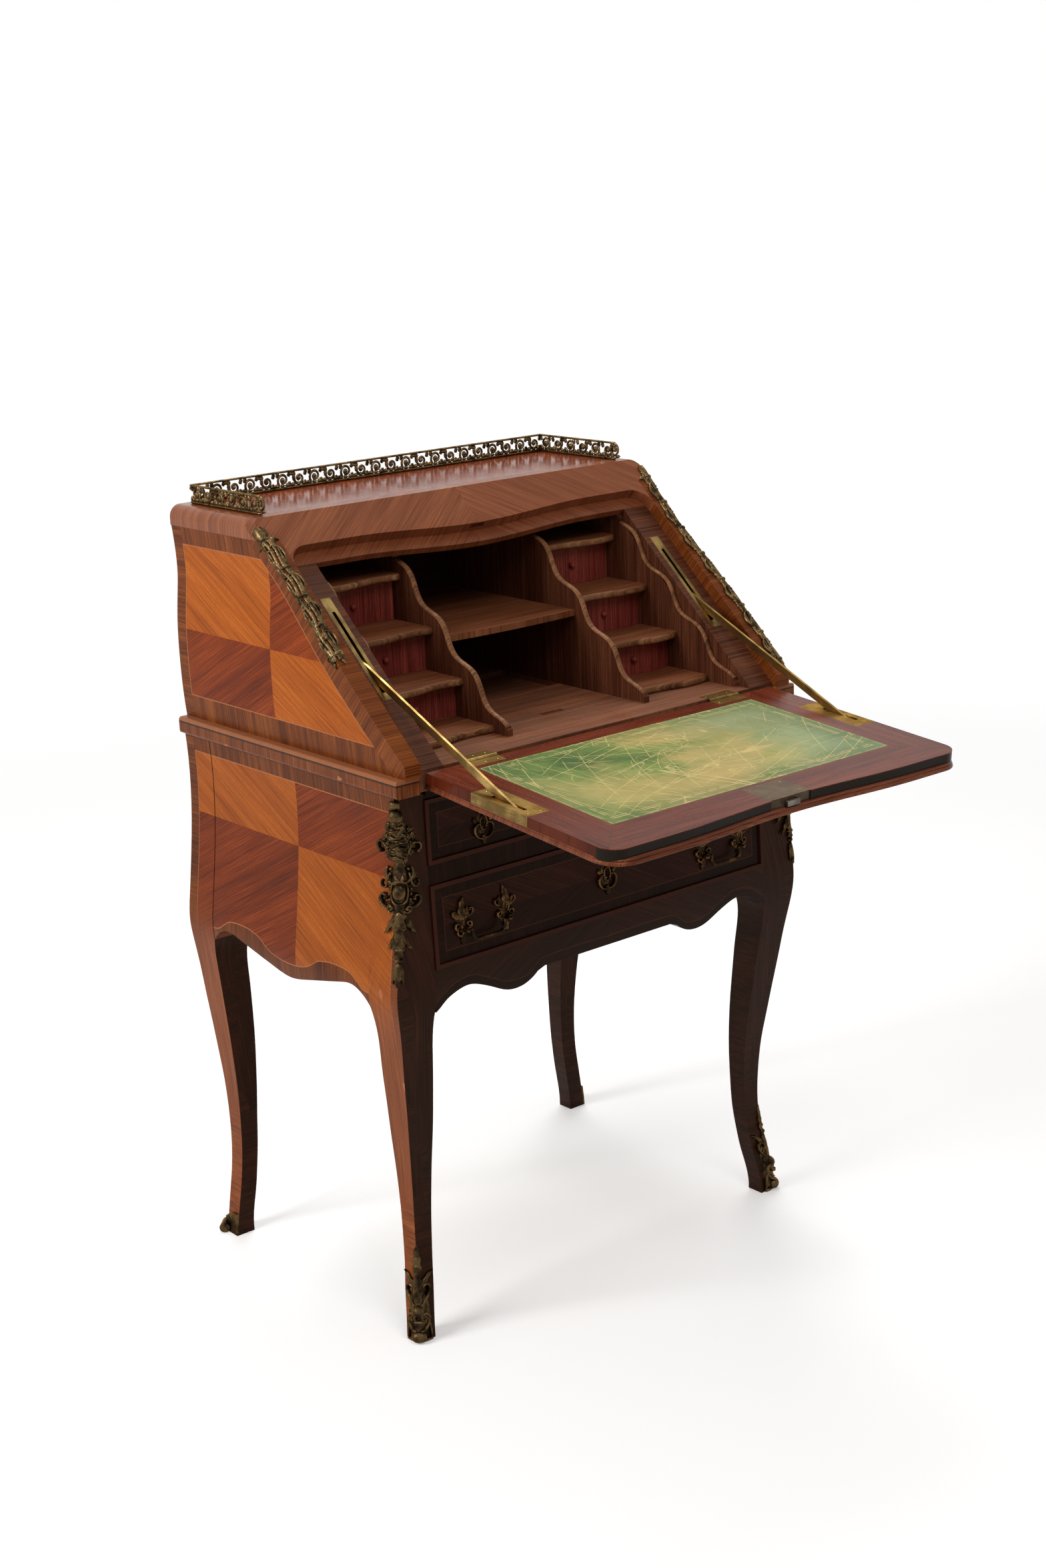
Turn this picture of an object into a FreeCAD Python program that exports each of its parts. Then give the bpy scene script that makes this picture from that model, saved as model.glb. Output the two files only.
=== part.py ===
import FreeCAD, Part
import math
import os
from FreeCAD import Vector

# Slant-front writing desk on cabriole legs, with a fall that opens on two brass stays.
# Millimetres. While it is built, X runs to the right, Y to the back and Z up,
# with Y zero on the flat back of the case and Z zero on the floor.
# At the end everything moves so that the origin is under the middle of its box.

# Driving sizes of the lower case
knee_half_width = 325.0
knee_depth = 444.0
lower_case_height = 690.0
leg_sweep = 34.0
front_sweep = 38.0
back_sweep_share = 0.1
post_width = 56.0
arch_lift = 11.0
side_wall = 38.0
# height share of the lower case, inward share of the sweep: side outline, then front outline
side_outer_shares = [(0.0, 0.59), (0.029, 0.62), (0.058, 0.70), (0.087, 0.79), (0.116, 0.88),
                     (0.159, 0.97), (0.21, 1.0), (0.26, 0.97), (0.319, 0.88), (0.377, 0.735),
                     (0.435, 0.585), (0.493, 0.42), (0.551, 0.27), (0.609, 0.08), (0.645, 0.0),
                     (0.696, 0.09), (0.768, 0.28), (0.84, 0.43), (0.913, 0.50), (1.0, 0.44)]
front_outer_shares = [(0.0, 0.58), (0.029, 0.61), (0.058, 0.69), (0.087, 0.79), (0.116, 0.88),
                      (0.159, 0.97), (0.21, 1.0), (0.26, 0.965), (0.319, 0.87), (0.377, 0.71),
                      (0.435, 0.55), (0.493, 0.39), (0.551, 0.23), (0.609, 0.06), (0.66, 0.0),
                      (0.754, 0.05), (0.826, 0.10), (0.913, 0.15), (1.0, 0.16)]
# height share of the arch, inward share of the post width: side outline, then front outline
side_inner_shares = [(0.0, 0.795), (0.07, 0.83), (0.14, 0.92), (0.209, 0.99), (0.279, 1.04),
                     (0.372, 1.07), (0.465, 1.086), (0.558, 1.082), (0.651, 1.064), (0.744, 1.027),
                     (0.837, 0.982), (0.919, 0.94), (0.965, 0.95), (1.0, 1.0)]
front_inner_shares = [(0.0, 0.83), (0.07, 0.87), (0.14, 0.973), (0.209, 1.045), (0.279, 1.107),
                      (0.372, 1.1375), (0.465, 1.15), (0.558, 1.1375), (0.651, 1.098),
                      (0.744, 1.045), (0.837, 0.99), (0.919, 0.93), (0.965, 0.94), (1.0, 1.0)]

# Aprons between the legs
front_apron_height = 55.0
front_apron_rise = 24.5
front_apron_depth = 24.0
# share of the half width from the middle, share of the rise
front_apron_shares = [(1.0, 0.10), (0.975, 0.30), (0.948, 0.55), (0.882, 0.89), (0.815, 1.0),
                      (0.752, 0.81), (0.679, 0.45), (0.604, 0.08), (0.546, 0.0), (0.505, 0.06),
                      (0.46, 0.27), (0.425, 0.55)]
apron_step_share = 0.385
apron_flat_share = 0.714
side_apron_lift = 3.5
side_apron_rise = 26.5
# share of the half length from the post to the middle, share of the rise
side_apron_shares = [(0.0, 0.283), (0.06, 0.66), (0.2, 1.0), (0.35, 0.87), (0.6, 0.5), (0.8, 0.2)]

# Drawer openings and the rails round them
top_rail_height = 12.0
short_drawer_height = 79.0
middle_rail_height = 23.0
long_drawer_height = 102.0
divider_width = 17.0
rail_depth = 30.0
front_ledge_proud = 5.0
drawer_gap = 1.0
drawer_front_depth = 26.0
drawer_side_thickness = 8.0
drawer_bottom_thickness = 6.0
drawer_box_drop = 8.0
bead_width = 5.0
bead_proud = 2.2
field_recess = 0.8
drawer_back_clearance = 34.0
dust_board_thickness = 8.0
runner_height = 14.0
runner_width = 22.0
well_wall = 6.0
well_clearance = 9.0

# Ledge between the two cases
ledge_inset = 7.5
ledge_proud = 10.0
ledge_thickness = 21.0
ledge_nose = 4.0

# Writing floor and the fall's hinge line
hinge_ahead = 6.0
hinge_sink = 1.5
floor_thickness = 25.0
hinge_gap = 3.2
droop_deg = 5.0
slope_deg = 41.9
rest_gap = 0.3

# Upper case
upper_case_height = 286.5
top_thickness = 24.5
top_inset = 18.0
top_rounding = 15.0
upper_side_thickness = 22.5
side_foot_proud = 13.0
back_thickness = 12.0
# height share of the upper side, half width share of the top
upper_side_shares = [(0.0, 0.9935), (0.158, 1.0033), (0.303, 1.0065), (0.506, 1.0033),
                     (0.639, 0.9935), (0.747, 0.9855), (0.867, 0.987), (1.0, 0.9967)]
rail_rounding = 28.0
rail_width = 65.81
opening_dip = 10.0
dip_share = 0.668
rebate_lip = 18.0
rebate_thickness = 10.0

# Fall
fall_thickness = 14.5
fall_side_gap = 10.0
fall_end_gap = 14.0
fall_corner = 24.0
lip_out = 7.0
lip_in = 8.0
lip_below = 4.0
lip_beside = 2.0
leather_side_border = 56.9
leather_near = 26.5
leather_far_border = 61.5
leather_thickness = 1.4

# Brass stays and their plates
stay_inset = 12.5
stay_thickness = 3.2
stay_width = 9.0
stay_pivot_reach = 150.0
stay_pivot_depth = 7.5
stay_open_cross = 140.0
stay_head_reach = 46.0
stay_head_width = 7.2
stay_ratio = -0.707
pin_radius = 1.5
pin_clearance = 0.06
pocket_before = 43.0
pocket_beyond = 13.0
pocket_depth = 13.0
pocket_width = 5.0
stay_plate_before = 66.0
stay_plate_beyond = 30.0
stay_plate_width = 32.0
plate_thickness = 1.5
slot_before = 26.0
slot_beyond = 97.0
slot_width = 4.4
slot_plate_before = 36.0
slot_plate_beyond = 118.0
slot_plate_width = 14.0
wood_slot_width = 10.0
wood_slot_extra = 14.0

# Side pocket that the stays slide in
pocket_space = 39.0
lining_thickness = 6.5
outer_partition_thickness = 7.0

# Lock and hinges of the fall
lock_half_width = 31.0
lock_leaf = 45.4
lock_sink = 0.6
bolt_width = 20.0
bolt_height = 6.0
bolt_depth = 8.0
bolt_length = 24.0
bolt_proud = 6.0
mortise_depth = 6.0
hinge_inset = 79.5
hinge_width = 50.0
hinge_leaf = 19.0
knuckle_radius = 2.6
knuckle_count = 5
knuckle_gap = 0.3

# Inner fittings
partition_thickness = 8.0
bay_share = 0.3715
partition_top_back = 255.0
partition_top_rise = 190.0
partition_foot_back = 51.0
partition_foot_rise = 3.0
partition_wave = 6.0
partition_pitch = 82.0
partition_phase = 27.0
outer_shift = 24.0
# height of each step board over the floor, and its distance behind the hinge line
step_rises = [172.0, 113.0, 58.0, 9.0]
step_runs = [246.0, 185.0, 130.0, 74.0]
step_thickness = 9.0
step_wave = 4.5
riser_setback = 14.0
inner_front_thickness = 9.0
inner_side_thickness = 4.5
inner_bottom_thickness = 3.0
inner_back_gap = 12.0
inner_gap = 0.6
knob_radius = 4.2
knob_length = 11.0
knob_neck = 1.7
shelf_rise = 101.5
shelf_thickness = 8.0
shelf_run = 174.0
shelf_bow = 5.0
well_cover_thickness = 6.0
well_cover_run = 81.0
well_cover_depth = 128.0
well_cover_gap = 0.6
well_cover_travel = 110.0
well_rim = 6.0
cover_dish_length = 34.0
cover_dish_width = 9.0
cover_dish_depth = 2.5

# Gallery
gallery_height = 23.5
gallery_inset = 26.0
gallery_back_inset = 12.0
gallery_setback = 10.57
gallery_plate = 2.4
gallery_rail = 4.2
gallery_rail_height = 2.6
gallery_pitch = 24.0
gallery_hole = 6.3
gallery_small_hole = 2.5
gallery_end_curve = 16.0
gallery_side_share = 0.36
gallery_lift_share = 0.75

# Bronze mounts
mount_thickness = 6.0
corner_mount_drop = 6.0
corner_mount_height = 220.0
corner_mount_half = 24.0
# height share of the mount, half width share
corner_mount_shares = [(0.0, 0.12), (0.08, 0.22), (0.14, 0.26), (0.19, 0.44), (0.28, 0.50),
                       (0.34, 0.60), (0.41, 0.92), (0.50, 1.0), (0.60, 0.96), (0.66, 0.80),
                       (0.74, 0.82), (0.83, 0.76), (0.88, 0.44), (0.93, 0.38), (0.965, 0.26),
                       (1.0, 0.24)]
front_sabot_height = 126.0
front_sabot_half = 17.0
front_sabot_shares = [(0.0, 0.80), (0.15, 0.95), (0.30, 1.0), (0.42, 0.82), (0.50, 0.62),
                      (0.62, 0.80), (0.78, 0.52), (0.90, 0.40), (1.0, 0.10)]
sabot_thickness = 3.0
back_sabot_height = 30.0
back_sabot_shares = [(0.0, 0.80), (0.35, 1.0), (0.75, 0.70), (1.0, 0.16)]
toe_radius = 7.0
toe_width = 18.0
slope_mount_thickness = 4.5
slope_mount_wrap = 13.0
slope_mount_end = 27.8
right_slope_mount_low = 18.0
left_slope_mount_low = 160.0

# Handles of the long drawer and the keyhole plate
handle_inset = 76.0
handle_lift = 39.0
rosette_lift = 10.0
post_spacing = 63.0
post_radius = 3.6
post_reach = 15.0
post_axis_reach = 10.0
rosette_width = 22.0
rosette_height = 50.0
rosette_thickness = 2.4
bail_half_width = 24.5
bail_drop = 13.0
bail_radius = 2.2
bail_bend = 9.0
escutcheon_half_width = 11.0
escutcheon_half_height = 17.0
keyhole_radius = 2.2
seat_gap = 0.3

overrun = 40.0
small_overrun = 1.0
dip_steps = 12
board_steps = 8
partition_steps = 27

# Worked-out places of the lower case
front_knee_y = -knee_depth
case_half = knee_half_width - post_width
side_wall_inner = knee_half_width - side_wall
short_drawer_high = lower_case_height - top_rail_height
short_drawer_low = short_drawer_high - short_drawer_height
long_drawer_high = short_drawer_low - middle_rail_height
long_drawer_low = long_drawer_high - long_drawer_height
front_apron_low = long_drawer_low - front_apron_height
side_apron_low = front_apron_low + side_apron_lift
arch_height = front_apron_low + arch_lift
front_apron_back = knee_depth - front_apron_depth
rail_back = knee_depth - rail_depth
drawer_front_back = knee_depth - drawer_front_depth
handle_x = case_half - handle_inset
handle_z = long_drawer_low + handle_lift
rosette_z = handle_z + rosette_lift
corner_mount_high = lower_case_height - corner_mount_drop
corner_mount_low = corner_mount_high - corner_mount_height

# Worked-out places of the upper case
floor_top = lower_case_height + floor_thickness
case_top = lower_case_height + upper_case_height
hinge_y = -knee_depth - hinge_ahead
hinge_z = floor_top - hinge_sink
ledge_front = knee_depth + ledge_proud
ledge_half_width = knee_half_width - ledge_inset
side_foot_front = knee_depth + side_foot_proud
top_half_width = knee_half_width - top_inset
opening_half_width = top_half_width - upper_side_thickness
dip_half_width = opening_half_width * dip_share
top_underside = case_top - top_thickness
upper_foot = lower_case_height + ledge_thickness
slope = math.radians(slope_deg)
droop = math.radians(droop_deg)
slope_length = (case_top - hinge_z) / math.sin(slope)
top_edge_rise = case_top - hinge_z - fall_thickness * math.cos(slope)
top_edge_y = hinge_y + top_edge_rise / math.tan(slope) - fall_thickness * math.sin(slope)
opening_reach = slope_length - rail_width
slope_mount_high = slope_length - slope_mount_end
gallery_top = case_top + gallery_height
gallery_half_width = top_half_width - gallery_inset
gallery_back_y = -gallery_back_inset
gallery_front_y = top_edge_y + gallery_setback
floor_front = hinge_y + hinge_gap
inner_back = -back_thickness

# Worked-out places of the fall and the stays
fall_half_width = opening_half_width - fall_side_gap
fall_length = opening_reach - fall_end_gap
leather_half_width = fall_half_width - leather_side_border
leather_far = fall_length - leather_far_border
hinge_x = fall_half_width - hinge_inset
lock_edge = fall_length - opening_dip - lock_sink
lock_near = lock_edge - lock_leaf
stay_x = fall_half_width - stay_inset
pocket_low = stay_pivot_reach - pocket_before
pocket_high = stay_pivot_reach + pocket_beyond
stay_plate_low = stay_pivot_reach - stay_plate_before
stay_plate_high = stay_pivot_reach + stay_plate_beyond
slot_low = stay_open_cross - slot_before
slot_high = stay_open_cross + slot_beyond
slot_plate_low = stay_open_cross - slot_plate_before
slot_plate_high = stay_open_cross + slot_plate_beyond

# Worked-out places of the inner fittings
lining_inner = opening_half_width - pocket_space
outer_partition_inner = lining_inner - outer_partition_thickness
partition_inner = opening_half_width * bay_share
partition_top_y = hinge_y + partition_top_back
partition_top_z = floor_top + partition_top_rise
partition_foot_y = hinge_y + partition_foot_back
partition_foot_z = floor_top + partition_foot_rise
step_tops = [floor_top + rise for rise in step_rises]
step_fronts = [hinge_y + run for run in step_runs]
inner_back_y = inner_back - inner_back_gap
shelf_top = floor_top + shelf_rise
shelf_front = hinge_y + shelf_run
well_cover_front = hinge_y + well_cover_run
well_cover_back = well_cover_front + well_cover_depth
opening_width = (2.0 * case_half - 2.0 * divider_width) / 3.0
half_centre = opening_width / 2.0
well_half_width = half_centre - well_wall

node_shapes = {}


def keep(name, solids):
    """Store one node as a single solid or a group of separate solids."""
    if not isinstance(solids, list):
        solids = [solids]
    flat = []
    for shape in solids:
        flat += shape.Solids
    if len(flat) == 1:
        node_shapes[name] = flat[0]
    else:
        node_shapes[name] = Part.makeCompound(flat)


def block(x0, x1, y0, y1, z0, z1):
    """Box between two corners."""
    corner = Vector(min(x0, x1), min(y0, y1), min(z0, z1))
    return Part.makeBox(abs(x1 - x0), abs(y1 - y0), abs(z1 - z0), corner)


def mirrored(shape):
    """The same piece on the other side of the middle plane."""
    return shape.mirror(Vector(0, 0, 0), Vector(1, 0, 0))


def both(shape):
    """A right-hand piece and its mirror image."""
    return [mirrored(shape), shape]


def spline(points):
    """One smooth edge through the points."""
    curve = Part.BSplineCurve()
    curve.interpolate(points)
    return curve.toShape()


def line(a, b):
    """Straight edge."""
    return Part.LineSegment(a, b).toShape()


def outline_face(edges):
    """Flat face inside a closed row of edges."""
    return Part.Face(Part.Wire(Part.__sortEdges__(edges)))


def rounded_face(points):
    """Flat face inside straight edges through the points."""
    return Part.Face(Part.makePolygon(points + [points[0]]))


def table_value(table, height):
    """Value of a table of shares at one height, on straight lines between its rows."""
    for (h0, v0), (h1, v1) in zip(table, table[1:]):
        if h0 <= height <= h1:
            return v0 + (v1 - v0) * (height - h0) / (h1 - h0)
    return table[-1][1]


def side_inset(height):
    """How far the side outline lies inside the knee at a height."""
    return leg_sweep * table_value(side_outer_shares, height / lower_case_height)


def front_inset(height):
    """How far the front outline lies inside the knee at a height."""
    return front_sweep * table_value(front_outer_shares, height / lower_case_height)


def outer_rows(table, sweep, grow):
    """Outward size and height of a bombe outline, grown by a thickness."""
    rows = []
    for height_share, inward_share in table:
        rows.append((grow - sweep * inward_share, lower_case_height * height_share))
    return rows


def side_rows(grow=0.0):
    """Bombe outline of the sides."""
    return outer_rows(side_outer_shares, leg_sweep, grow)


def front_rows(grow=0.0):
    """Bombe outline of the front."""
    return outer_rows(front_outer_shares, front_sweep, grow)


def inner_rows(table):
    """Inward size and height of a leg's inside edge."""
    rows = []
    for height_share, inward_share in table:
        rows.append((-post_width * inward_share, arch_height * height_share))
    return rows


def side_slab(inner_x, y0, y1, grow=0.0):
    """Right-hand slab with the bombe outline outside and a flat inside."""
    points = []
    for outward, height in side_rows(grow):
        points.append(Vector(knee_half_width + outward, y0, height))
    foot = Vector(inner_x, y0, 0)
    head = Vector(inner_x, y0, lower_case_height)
    edges = [spline(points), line(points[-1], head), line(head, foot), line(foot, points[0])]
    return outline_face(edges).extrude(Vector(0, y1 - y0, 0))


def front_slab(back_y, x0, x1, grow=0.0):
    """Slab across the front with the bombe outline in front and a flat back."""
    points = []
    for outward, height in front_rows(grow):
        points.append(Vector(x0, front_knee_y - outward, height))
    foot = Vector(x0, back_y, 0)
    head = Vector(x0, back_y, lower_case_height)
    edges = [spline(points), line(points[-1], head), line(head, foot), line(foot, points[0])]
    return outline_face(edges).extrude(Vector(x1 - x0, 0, 0))


def front_piece(x0, x1, z0, z1, back_y, grow=0.0):
    """Part of the front between two heights."""
    slab = front_slab(back_y, x0, x1, grow)
    window = block(x0, x1, front_knee_y - overrun, back_y, z0, z1)
    return slab.common(window)


def leg_view(outer, inner, place, depth):
    """Prism of one leg view from its outer and inner rows."""
    outer_points = [place(size, height) for size, height in outer]
    inner_points = [place(size, height) for size, height in inner]
    head = place(inner[-1][0], lower_case_height)
    edges = [spline(outer_points), line(outer_points[-1], head), line(head, inner_points[-1]),
             spline(inner_points), line(inner_points[0], outer_points[0])]
    return outline_face(edges).extrude(depth)


def front_leg(grow=0.0):
    """Right front leg with its post, curved alike to the side and to the front."""
    reach = Vector(0, post_width + 2.0 * overrun, 0)
    start = front_knee_y - overrun

    def side_place(size, height):
        return Vector(knee_half_width + size, start, height)

    def front_place(size, height):
        return Vector(0, front_knee_y - size, height)
    side_view = leg_view(side_rows(grow), inner_rows(side_inner_shares), side_place, reach)
    width = Vector(knee_half_width + overrun, 0, 0)
    front_view = leg_view(front_rows(grow), inner_rows(front_inner_shares), front_place, width)
    return side_view.common(front_view)


def back_leg(grow=0.0):
    """Right back leg: its post is flat behind and its foot turns back less than sideways."""
    start = -post_width - overrun
    reach = Vector(0, post_width + 2.0 * overrun, 0)

    def side_place(size, height):
        return Vector(knee_half_width + size, start, height)

    def back_place(size, height):
        return Vector(0, size, height)
    side_view = leg_view(side_rows(grow), inner_rows(side_inner_shares), side_place, reach)
    knee_share = [height for height, inward in side_outer_shares if inward == 0.0][0]
    low_rows = []
    for outward, height in side_rows():
        if height <= lower_case_height * knee_share:
            low_rows.append((outward * back_sweep_share, height))
    inner = []
    for inward, height in inner_rows(side_inner_shares):
        inner.append((inward + (1.0 - back_sweep_share) * side_inset(height), height))
    outer_points = [back_place(size + grow, height) for size, height in low_rows]
    inner_points = [back_place(size, height) for size, height in inner]
    head_out = back_place(grow, lower_case_height)
    head_in = back_place(inner[-1][0], lower_case_height)
    edges = [spline(outer_points), line(outer_points[-1], head_out), line(head_out, head_in),
             line(head_in, inner_points[-1]), spline(inner_points),
             line(inner_points[0], outer_points[0])]
    back_view = outline_face(edges).extrude(Vector(knee_half_width + overrun, 0, 0))
    return side_view.common(back_view)


def lower_side():
    """Right side of the lower case, between the posts, with its shaped apron."""
    front_y = front_knee_y + post_width
    rear_y = -post_width
    half = (rear_y - front_y) / 2.0
    near = []
    for along, rise in side_apron_shares:
        near.append(Vector(0, front_y + half * along, side_apron_low + side_apron_rise * rise))
    far = [Vector(0, front_y + rear_y - p.y, p.z) for p in reversed(near)]
    middle = Vector(0, front_y + half, side_apron_low)
    lower = spline(near + [middle] + far)
    head_front = Vector(0, front_y, lower_case_height)
    head_back = Vector(0, rear_y, lower_case_height)
    edges = [lower, line(far[-1], head_back), line(head_back, head_front), line(head_front, near[0])]
    view = outline_face(edges).extrude(Vector(knee_half_width + overrun, 0, 0))
    return side_slab(side_wall_inner, front_y, rear_y).common(view)


def front_apron():
    """Shaped rail under the long drawer."""
    right = []
    for across, rise in front_apron_shares:
        right.append(Vector(case_half * across, 0, front_apron_low + front_apron_rise * rise))
    flat_z = front_apron_low + front_apron_rise * apron_flat_share
    step = Vector(case_half * apron_step_share, 0, flat_z)
    left = [Vector(-p.x, 0, p.z) for p in right]
    left_step = Vector(-step.x, 0, flat_z)
    head_right = Vector(case_half, 0, long_drawer_low)
    head_left = Vector(-case_half, 0, long_drawer_low)
    edges = [spline(right), line(right[-1], step), line(step, left_step), line(left_step, left[-1]),
             spline(left), line(left[0], head_left), line(head_left, head_right),
             line(head_right, right[0])]
    view = outline_face(edges).extrude(Vector(0, -knee_depth - overrun, 0))
    return front_slab(-front_apron_back, -case_half, case_half).common(view)


def slope_point(along, outward, x=0.0):
    """Point on the slope: distance up it from the hinge, and height off the rebate."""
    y = hinge_y + along * math.cos(slope) - outward * math.sin(slope)
    z = hinge_z + along * math.sin(slope) + outward * math.cos(slope)
    return Vector(x, y, z)


def fall_point(along, above, x=0.0):
    """Point on the open fall: distance from the hinge, and height above its writing face."""
    y = hinge_y - along * math.cos(droop) - above * math.sin(droop)
    z = hinge_z - along * math.sin(droop) + above * math.cos(droop)
    return Vector(x, y, z)


def slope_box(x0, x1, s0, s1, n0, n1):
    """Box that lies along the slope."""
    base = [slope_point(s0, n0, x0), slope_point(s0, n0, x1),
            slope_point(s1, n0, x1), slope_point(s1, n0, x0)]
    return rounded_face(base).extrude(slope_point(0, n1) - slope_point(0, n0))


def fall_box(x0, x1, u0, u1, v0, v1):
    """Box that lies along the open fall."""
    base = [fall_point(u0, v0, x0), fall_point(u0, v0, x1),
            fall_point(u1, v0, x1), fall_point(u1, v0, x0)]
    return rounded_face(base).extrude(fall_point(0, v1) - fall_point(0, v0))


def dip_curve(x, reach):
    """Serpentine edge: dips in the middle and is straight at the sides."""
    if abs(x) >= dip_half_width:
        return reach
    return reach - opening_dip * 0.5 * (1.0 + math.cos(math.pi * x / dip_half_width))


def dip_points(place, reach, level):
    """Points of the serpentine edge from left to right, by formula."""
    points = []
    for i in range(dip_steps + 1):
        x = -dip_half_width + 2.0 * dip_half_width * i / dip_steps
        points.append(place(dip_curve(x, reach), level, x))
    return points


def shaped_plate(place, half, near, reach, corner, low, high):
    """Plate with a straight near edge, rounded far corners and a serpentine far edge."""
    quarter = corner * (1.0 - math.sqrt(0.5))
    dip = dip_points(place, reach, low)
    edges = []
    for side in (-1.0, 1.0):
        foot = place(near, low, side * half)
        start = place(reach - corner, low, side * half)
        middle = place(reach - quarter, low, side * (half - quarter))
        end = place(reach, low, side * (half - corner))
        edges += [line(foot, start), Part.Arc(start, middle, end).toShape()]
        edges.append(line(end, dip[0] if side < 0 else dip[-1]))
    edges += [spline(dip), line(place(near, low, -half), place(near, low, half))]
    return outline_face(edges).extrude(place(0, high) - place(0, low))


def upper_side_solid(grow=0.0, foot=upper_foot, head=top_underside):
    """Right side of the upper case before its front is cut to the slope."""
    height = top_underside - upper_foot
    points = []
    for up, out in upper_side_shares:
        points.append(Vector(top_half_width * out + grow, 0, upper_foot + height * up))
    low = Vector(opening_half_width, 0, upper_foot)
    high = Vector(opening_half_width, 0, top_underside)
    edges = [spline(points), line(points[-1], high), line(high, low), line(low, points[0])]
    slab = outline_face(edges).extrude(Vector(0, -side_foot_front - overrun, 0))
    return slab.common(block(0, knee_half_width + overrun, 0, -side_foot_front, foot, head))


def in_front_of_slope(outward):
    """Everything in front of a plane that lies along the slope."""
    far = 2.0 * knee_depth
    half = knee_half_width + overrun
    return slope_box(-half, half, -far, far, outward, outward + far)


def top_slab(grow=0.0):
    """Top board with rounded ends, before its front is cut to the slope."""
    half = top_half_width + grow
    high = case_top + grow
    slab = block(-half, half, 0, -knee_depth, top_underside, high)
    upper = []
    for edge in slab.Edges:
        middle = edge.CenterOfMass
        if abs(abs(middle.x) - half) < small_overrun and middle.z > high - small_overrun:
            if edge.Length > knee_depth / 2.0:
                upper.append(edge)
    return slab.makeFillet(top_rounding + grow, upper)


def slope_rail():
    """Serpentine rail over the fall, with the lip that the fall shuts against."""
    high = (case_top - hinge_z) / math.sin(slope) + overrun
    half = opening_half_width
    plate = slope_box(-half, half, opening_reach - rail_rounding, high, 0, fall_thickness)
    opening = shaped_plate(slope_point, half, 0, opening_reach, rail_rounding,
                           -small_overrun, fall_thickness + small_overrun)
    plate = plate.cut(opening)
    plate = plate.common(block(-half, half, 0, -2.0 * knee_depth, 0, top_underside))
    head = top_slab().cut(in_front_of_slope(fall_thickness)).common(in_front_of_slope(0))
    lip_reach = opening_reach - rebate_lip
    lip = slope_box(-half, half, lip_reach - rail_rounding, high, -rebate_thickness, -rest_gap)
    hole = shaped_plate(slope_point, half - rail_rounding / 2.0, 0, lip_reach, rail_rounding / 2.0,
                        -rebate_thickness - small_overrun, small_overrun)
    lip = lip.cut(hole).common(block(-half, half, 0, -2.0 * knee_depth, 0, top_underside))
    side = half - lining_inner
    for sign in (-1.0, 1.0):
        inner = sign * (half - side)
        lip = lip.cut(slope_box(inner, sign * (half + overrun), 0, lip_reach,
                                -rebate_thickness - small_overrun, small_overrun))
    bridge = slope_box(-half, half, opening_reach - rail_rounding, high, -rest_gap, 0)
    bridge = bridge.cut(shaped_plate(slope_point, half, 0, opening_reach, rail_rounding,
                                     -small_overrun, small_overrun))
    bridge = bridge.common(block(-half, half, 0, -2.0 * knee_depth, 0, top_underside))
    rail = plate.fuse([head, lip, bridge]).removeSplitter()
    mortise = slope_box(-bolt_width / 2.0 - small_overrun, bolt_width / 2.0 + small_overrun,
                        0, opening_reach - opening_dip + mortise_depth,
                        bolt_depth / 2.0, bolt_depth / 2.0 + bolt_height + 2.0 * small_overrun)
    return rail.cut(mortise)


def partition_outline(shift):
    """Front edge of a partition: a wave along a slanting line."""
    run_y = partition_foot_y - partition_top_y
    run_z = partition_foot_z - partition_top_z
    length = math.hypot(run_y, run_z)
    points = []
    for i in range(partition_steps + 1):
        share = i / partition_steps
        s = length * share
        wave = partition_wave * math.cos(2.0 * math.pi * (s - partition_phase) / partition_pitch)
        y = partition_top_y + run_y * share + wave * run_z / length - shift
        z = partition_top_z + run_z * share - wave * run_y / length
        points.append(Vector(0, y, z))
    return points


def partition(x0, x1, shift):
    """Upright partition with a waved front edge."""
    points = partition_outline(shift)
    foot = Vector(0, points[-1].y, floor_top)
    back_low = Vector(0, inner_back, floor_top)
    back_high = Vector(0, inner_back, top_underside)
    head = Vector(0, points[0].y, top_underside)
    edges = [spline(points), line(points[-1], foot), line(foot, back_low),
             line(back_low, back_high), line(back_high, head), line(head, points[0])]
    solid = outline_face(edges).extrude(Vector(x1 - x0, 0, 0))
    solid.translate(Vector(x0, 0, 0))
    return solid.cut(in_front_of_slope(-rebate_thickness))


def waved_board(x0, x1, front, back, z0, z1):
    """Board whose front edge is one long wave from side to side."""
    points = []
    for i in range(board_steps + 1):
        share = i / board_steps
        x = x0 + (x1 - x0) * share
        points.append(Vector(x, front + step_wave * math.sin(2.0 * math.pi * share), z0))
    back_right = Vector(x1, back, z0)
    back_left = Vector(x0, back, z0)
    edges = [spline(points), line(points[-1], back_right), line(back_right, back_left),
             line(back_left, points[0])]
    return outline_face(edges).extrude(Vector(0, 0, z1 - z0))


def drawer_box(x0, x1, front, back, z0, z1, side, bottom):
    """Four loose boards of a drawer behind its front: two sides, back and bottom."""
    left = block(x0, x0 + side, front, back, z0, z1)
    right = block(x1 - side, x1, front, back, z0, z1)
    rear = block(x0 + side, x1 - side, back - side, back, z0, z1)
    floor = block(x0 + side, x1 - side, front, back - side, z0, z0 + bottom)
    return [left, right, rear, floor]


def knob(x, y, z):
    """Small turned knob that stands out of a drawer front: a ball on a neck."""
    reach = knob_length - knob_radius
    neck = Part.makeCylinder(knob_neck, reach, Vector(x, y, z), Vector(0, -1, 0))
    head = Part.makeSphere(knob_radius, Vector(x, y - reach, z))
    return neck.fuse(head)


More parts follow.
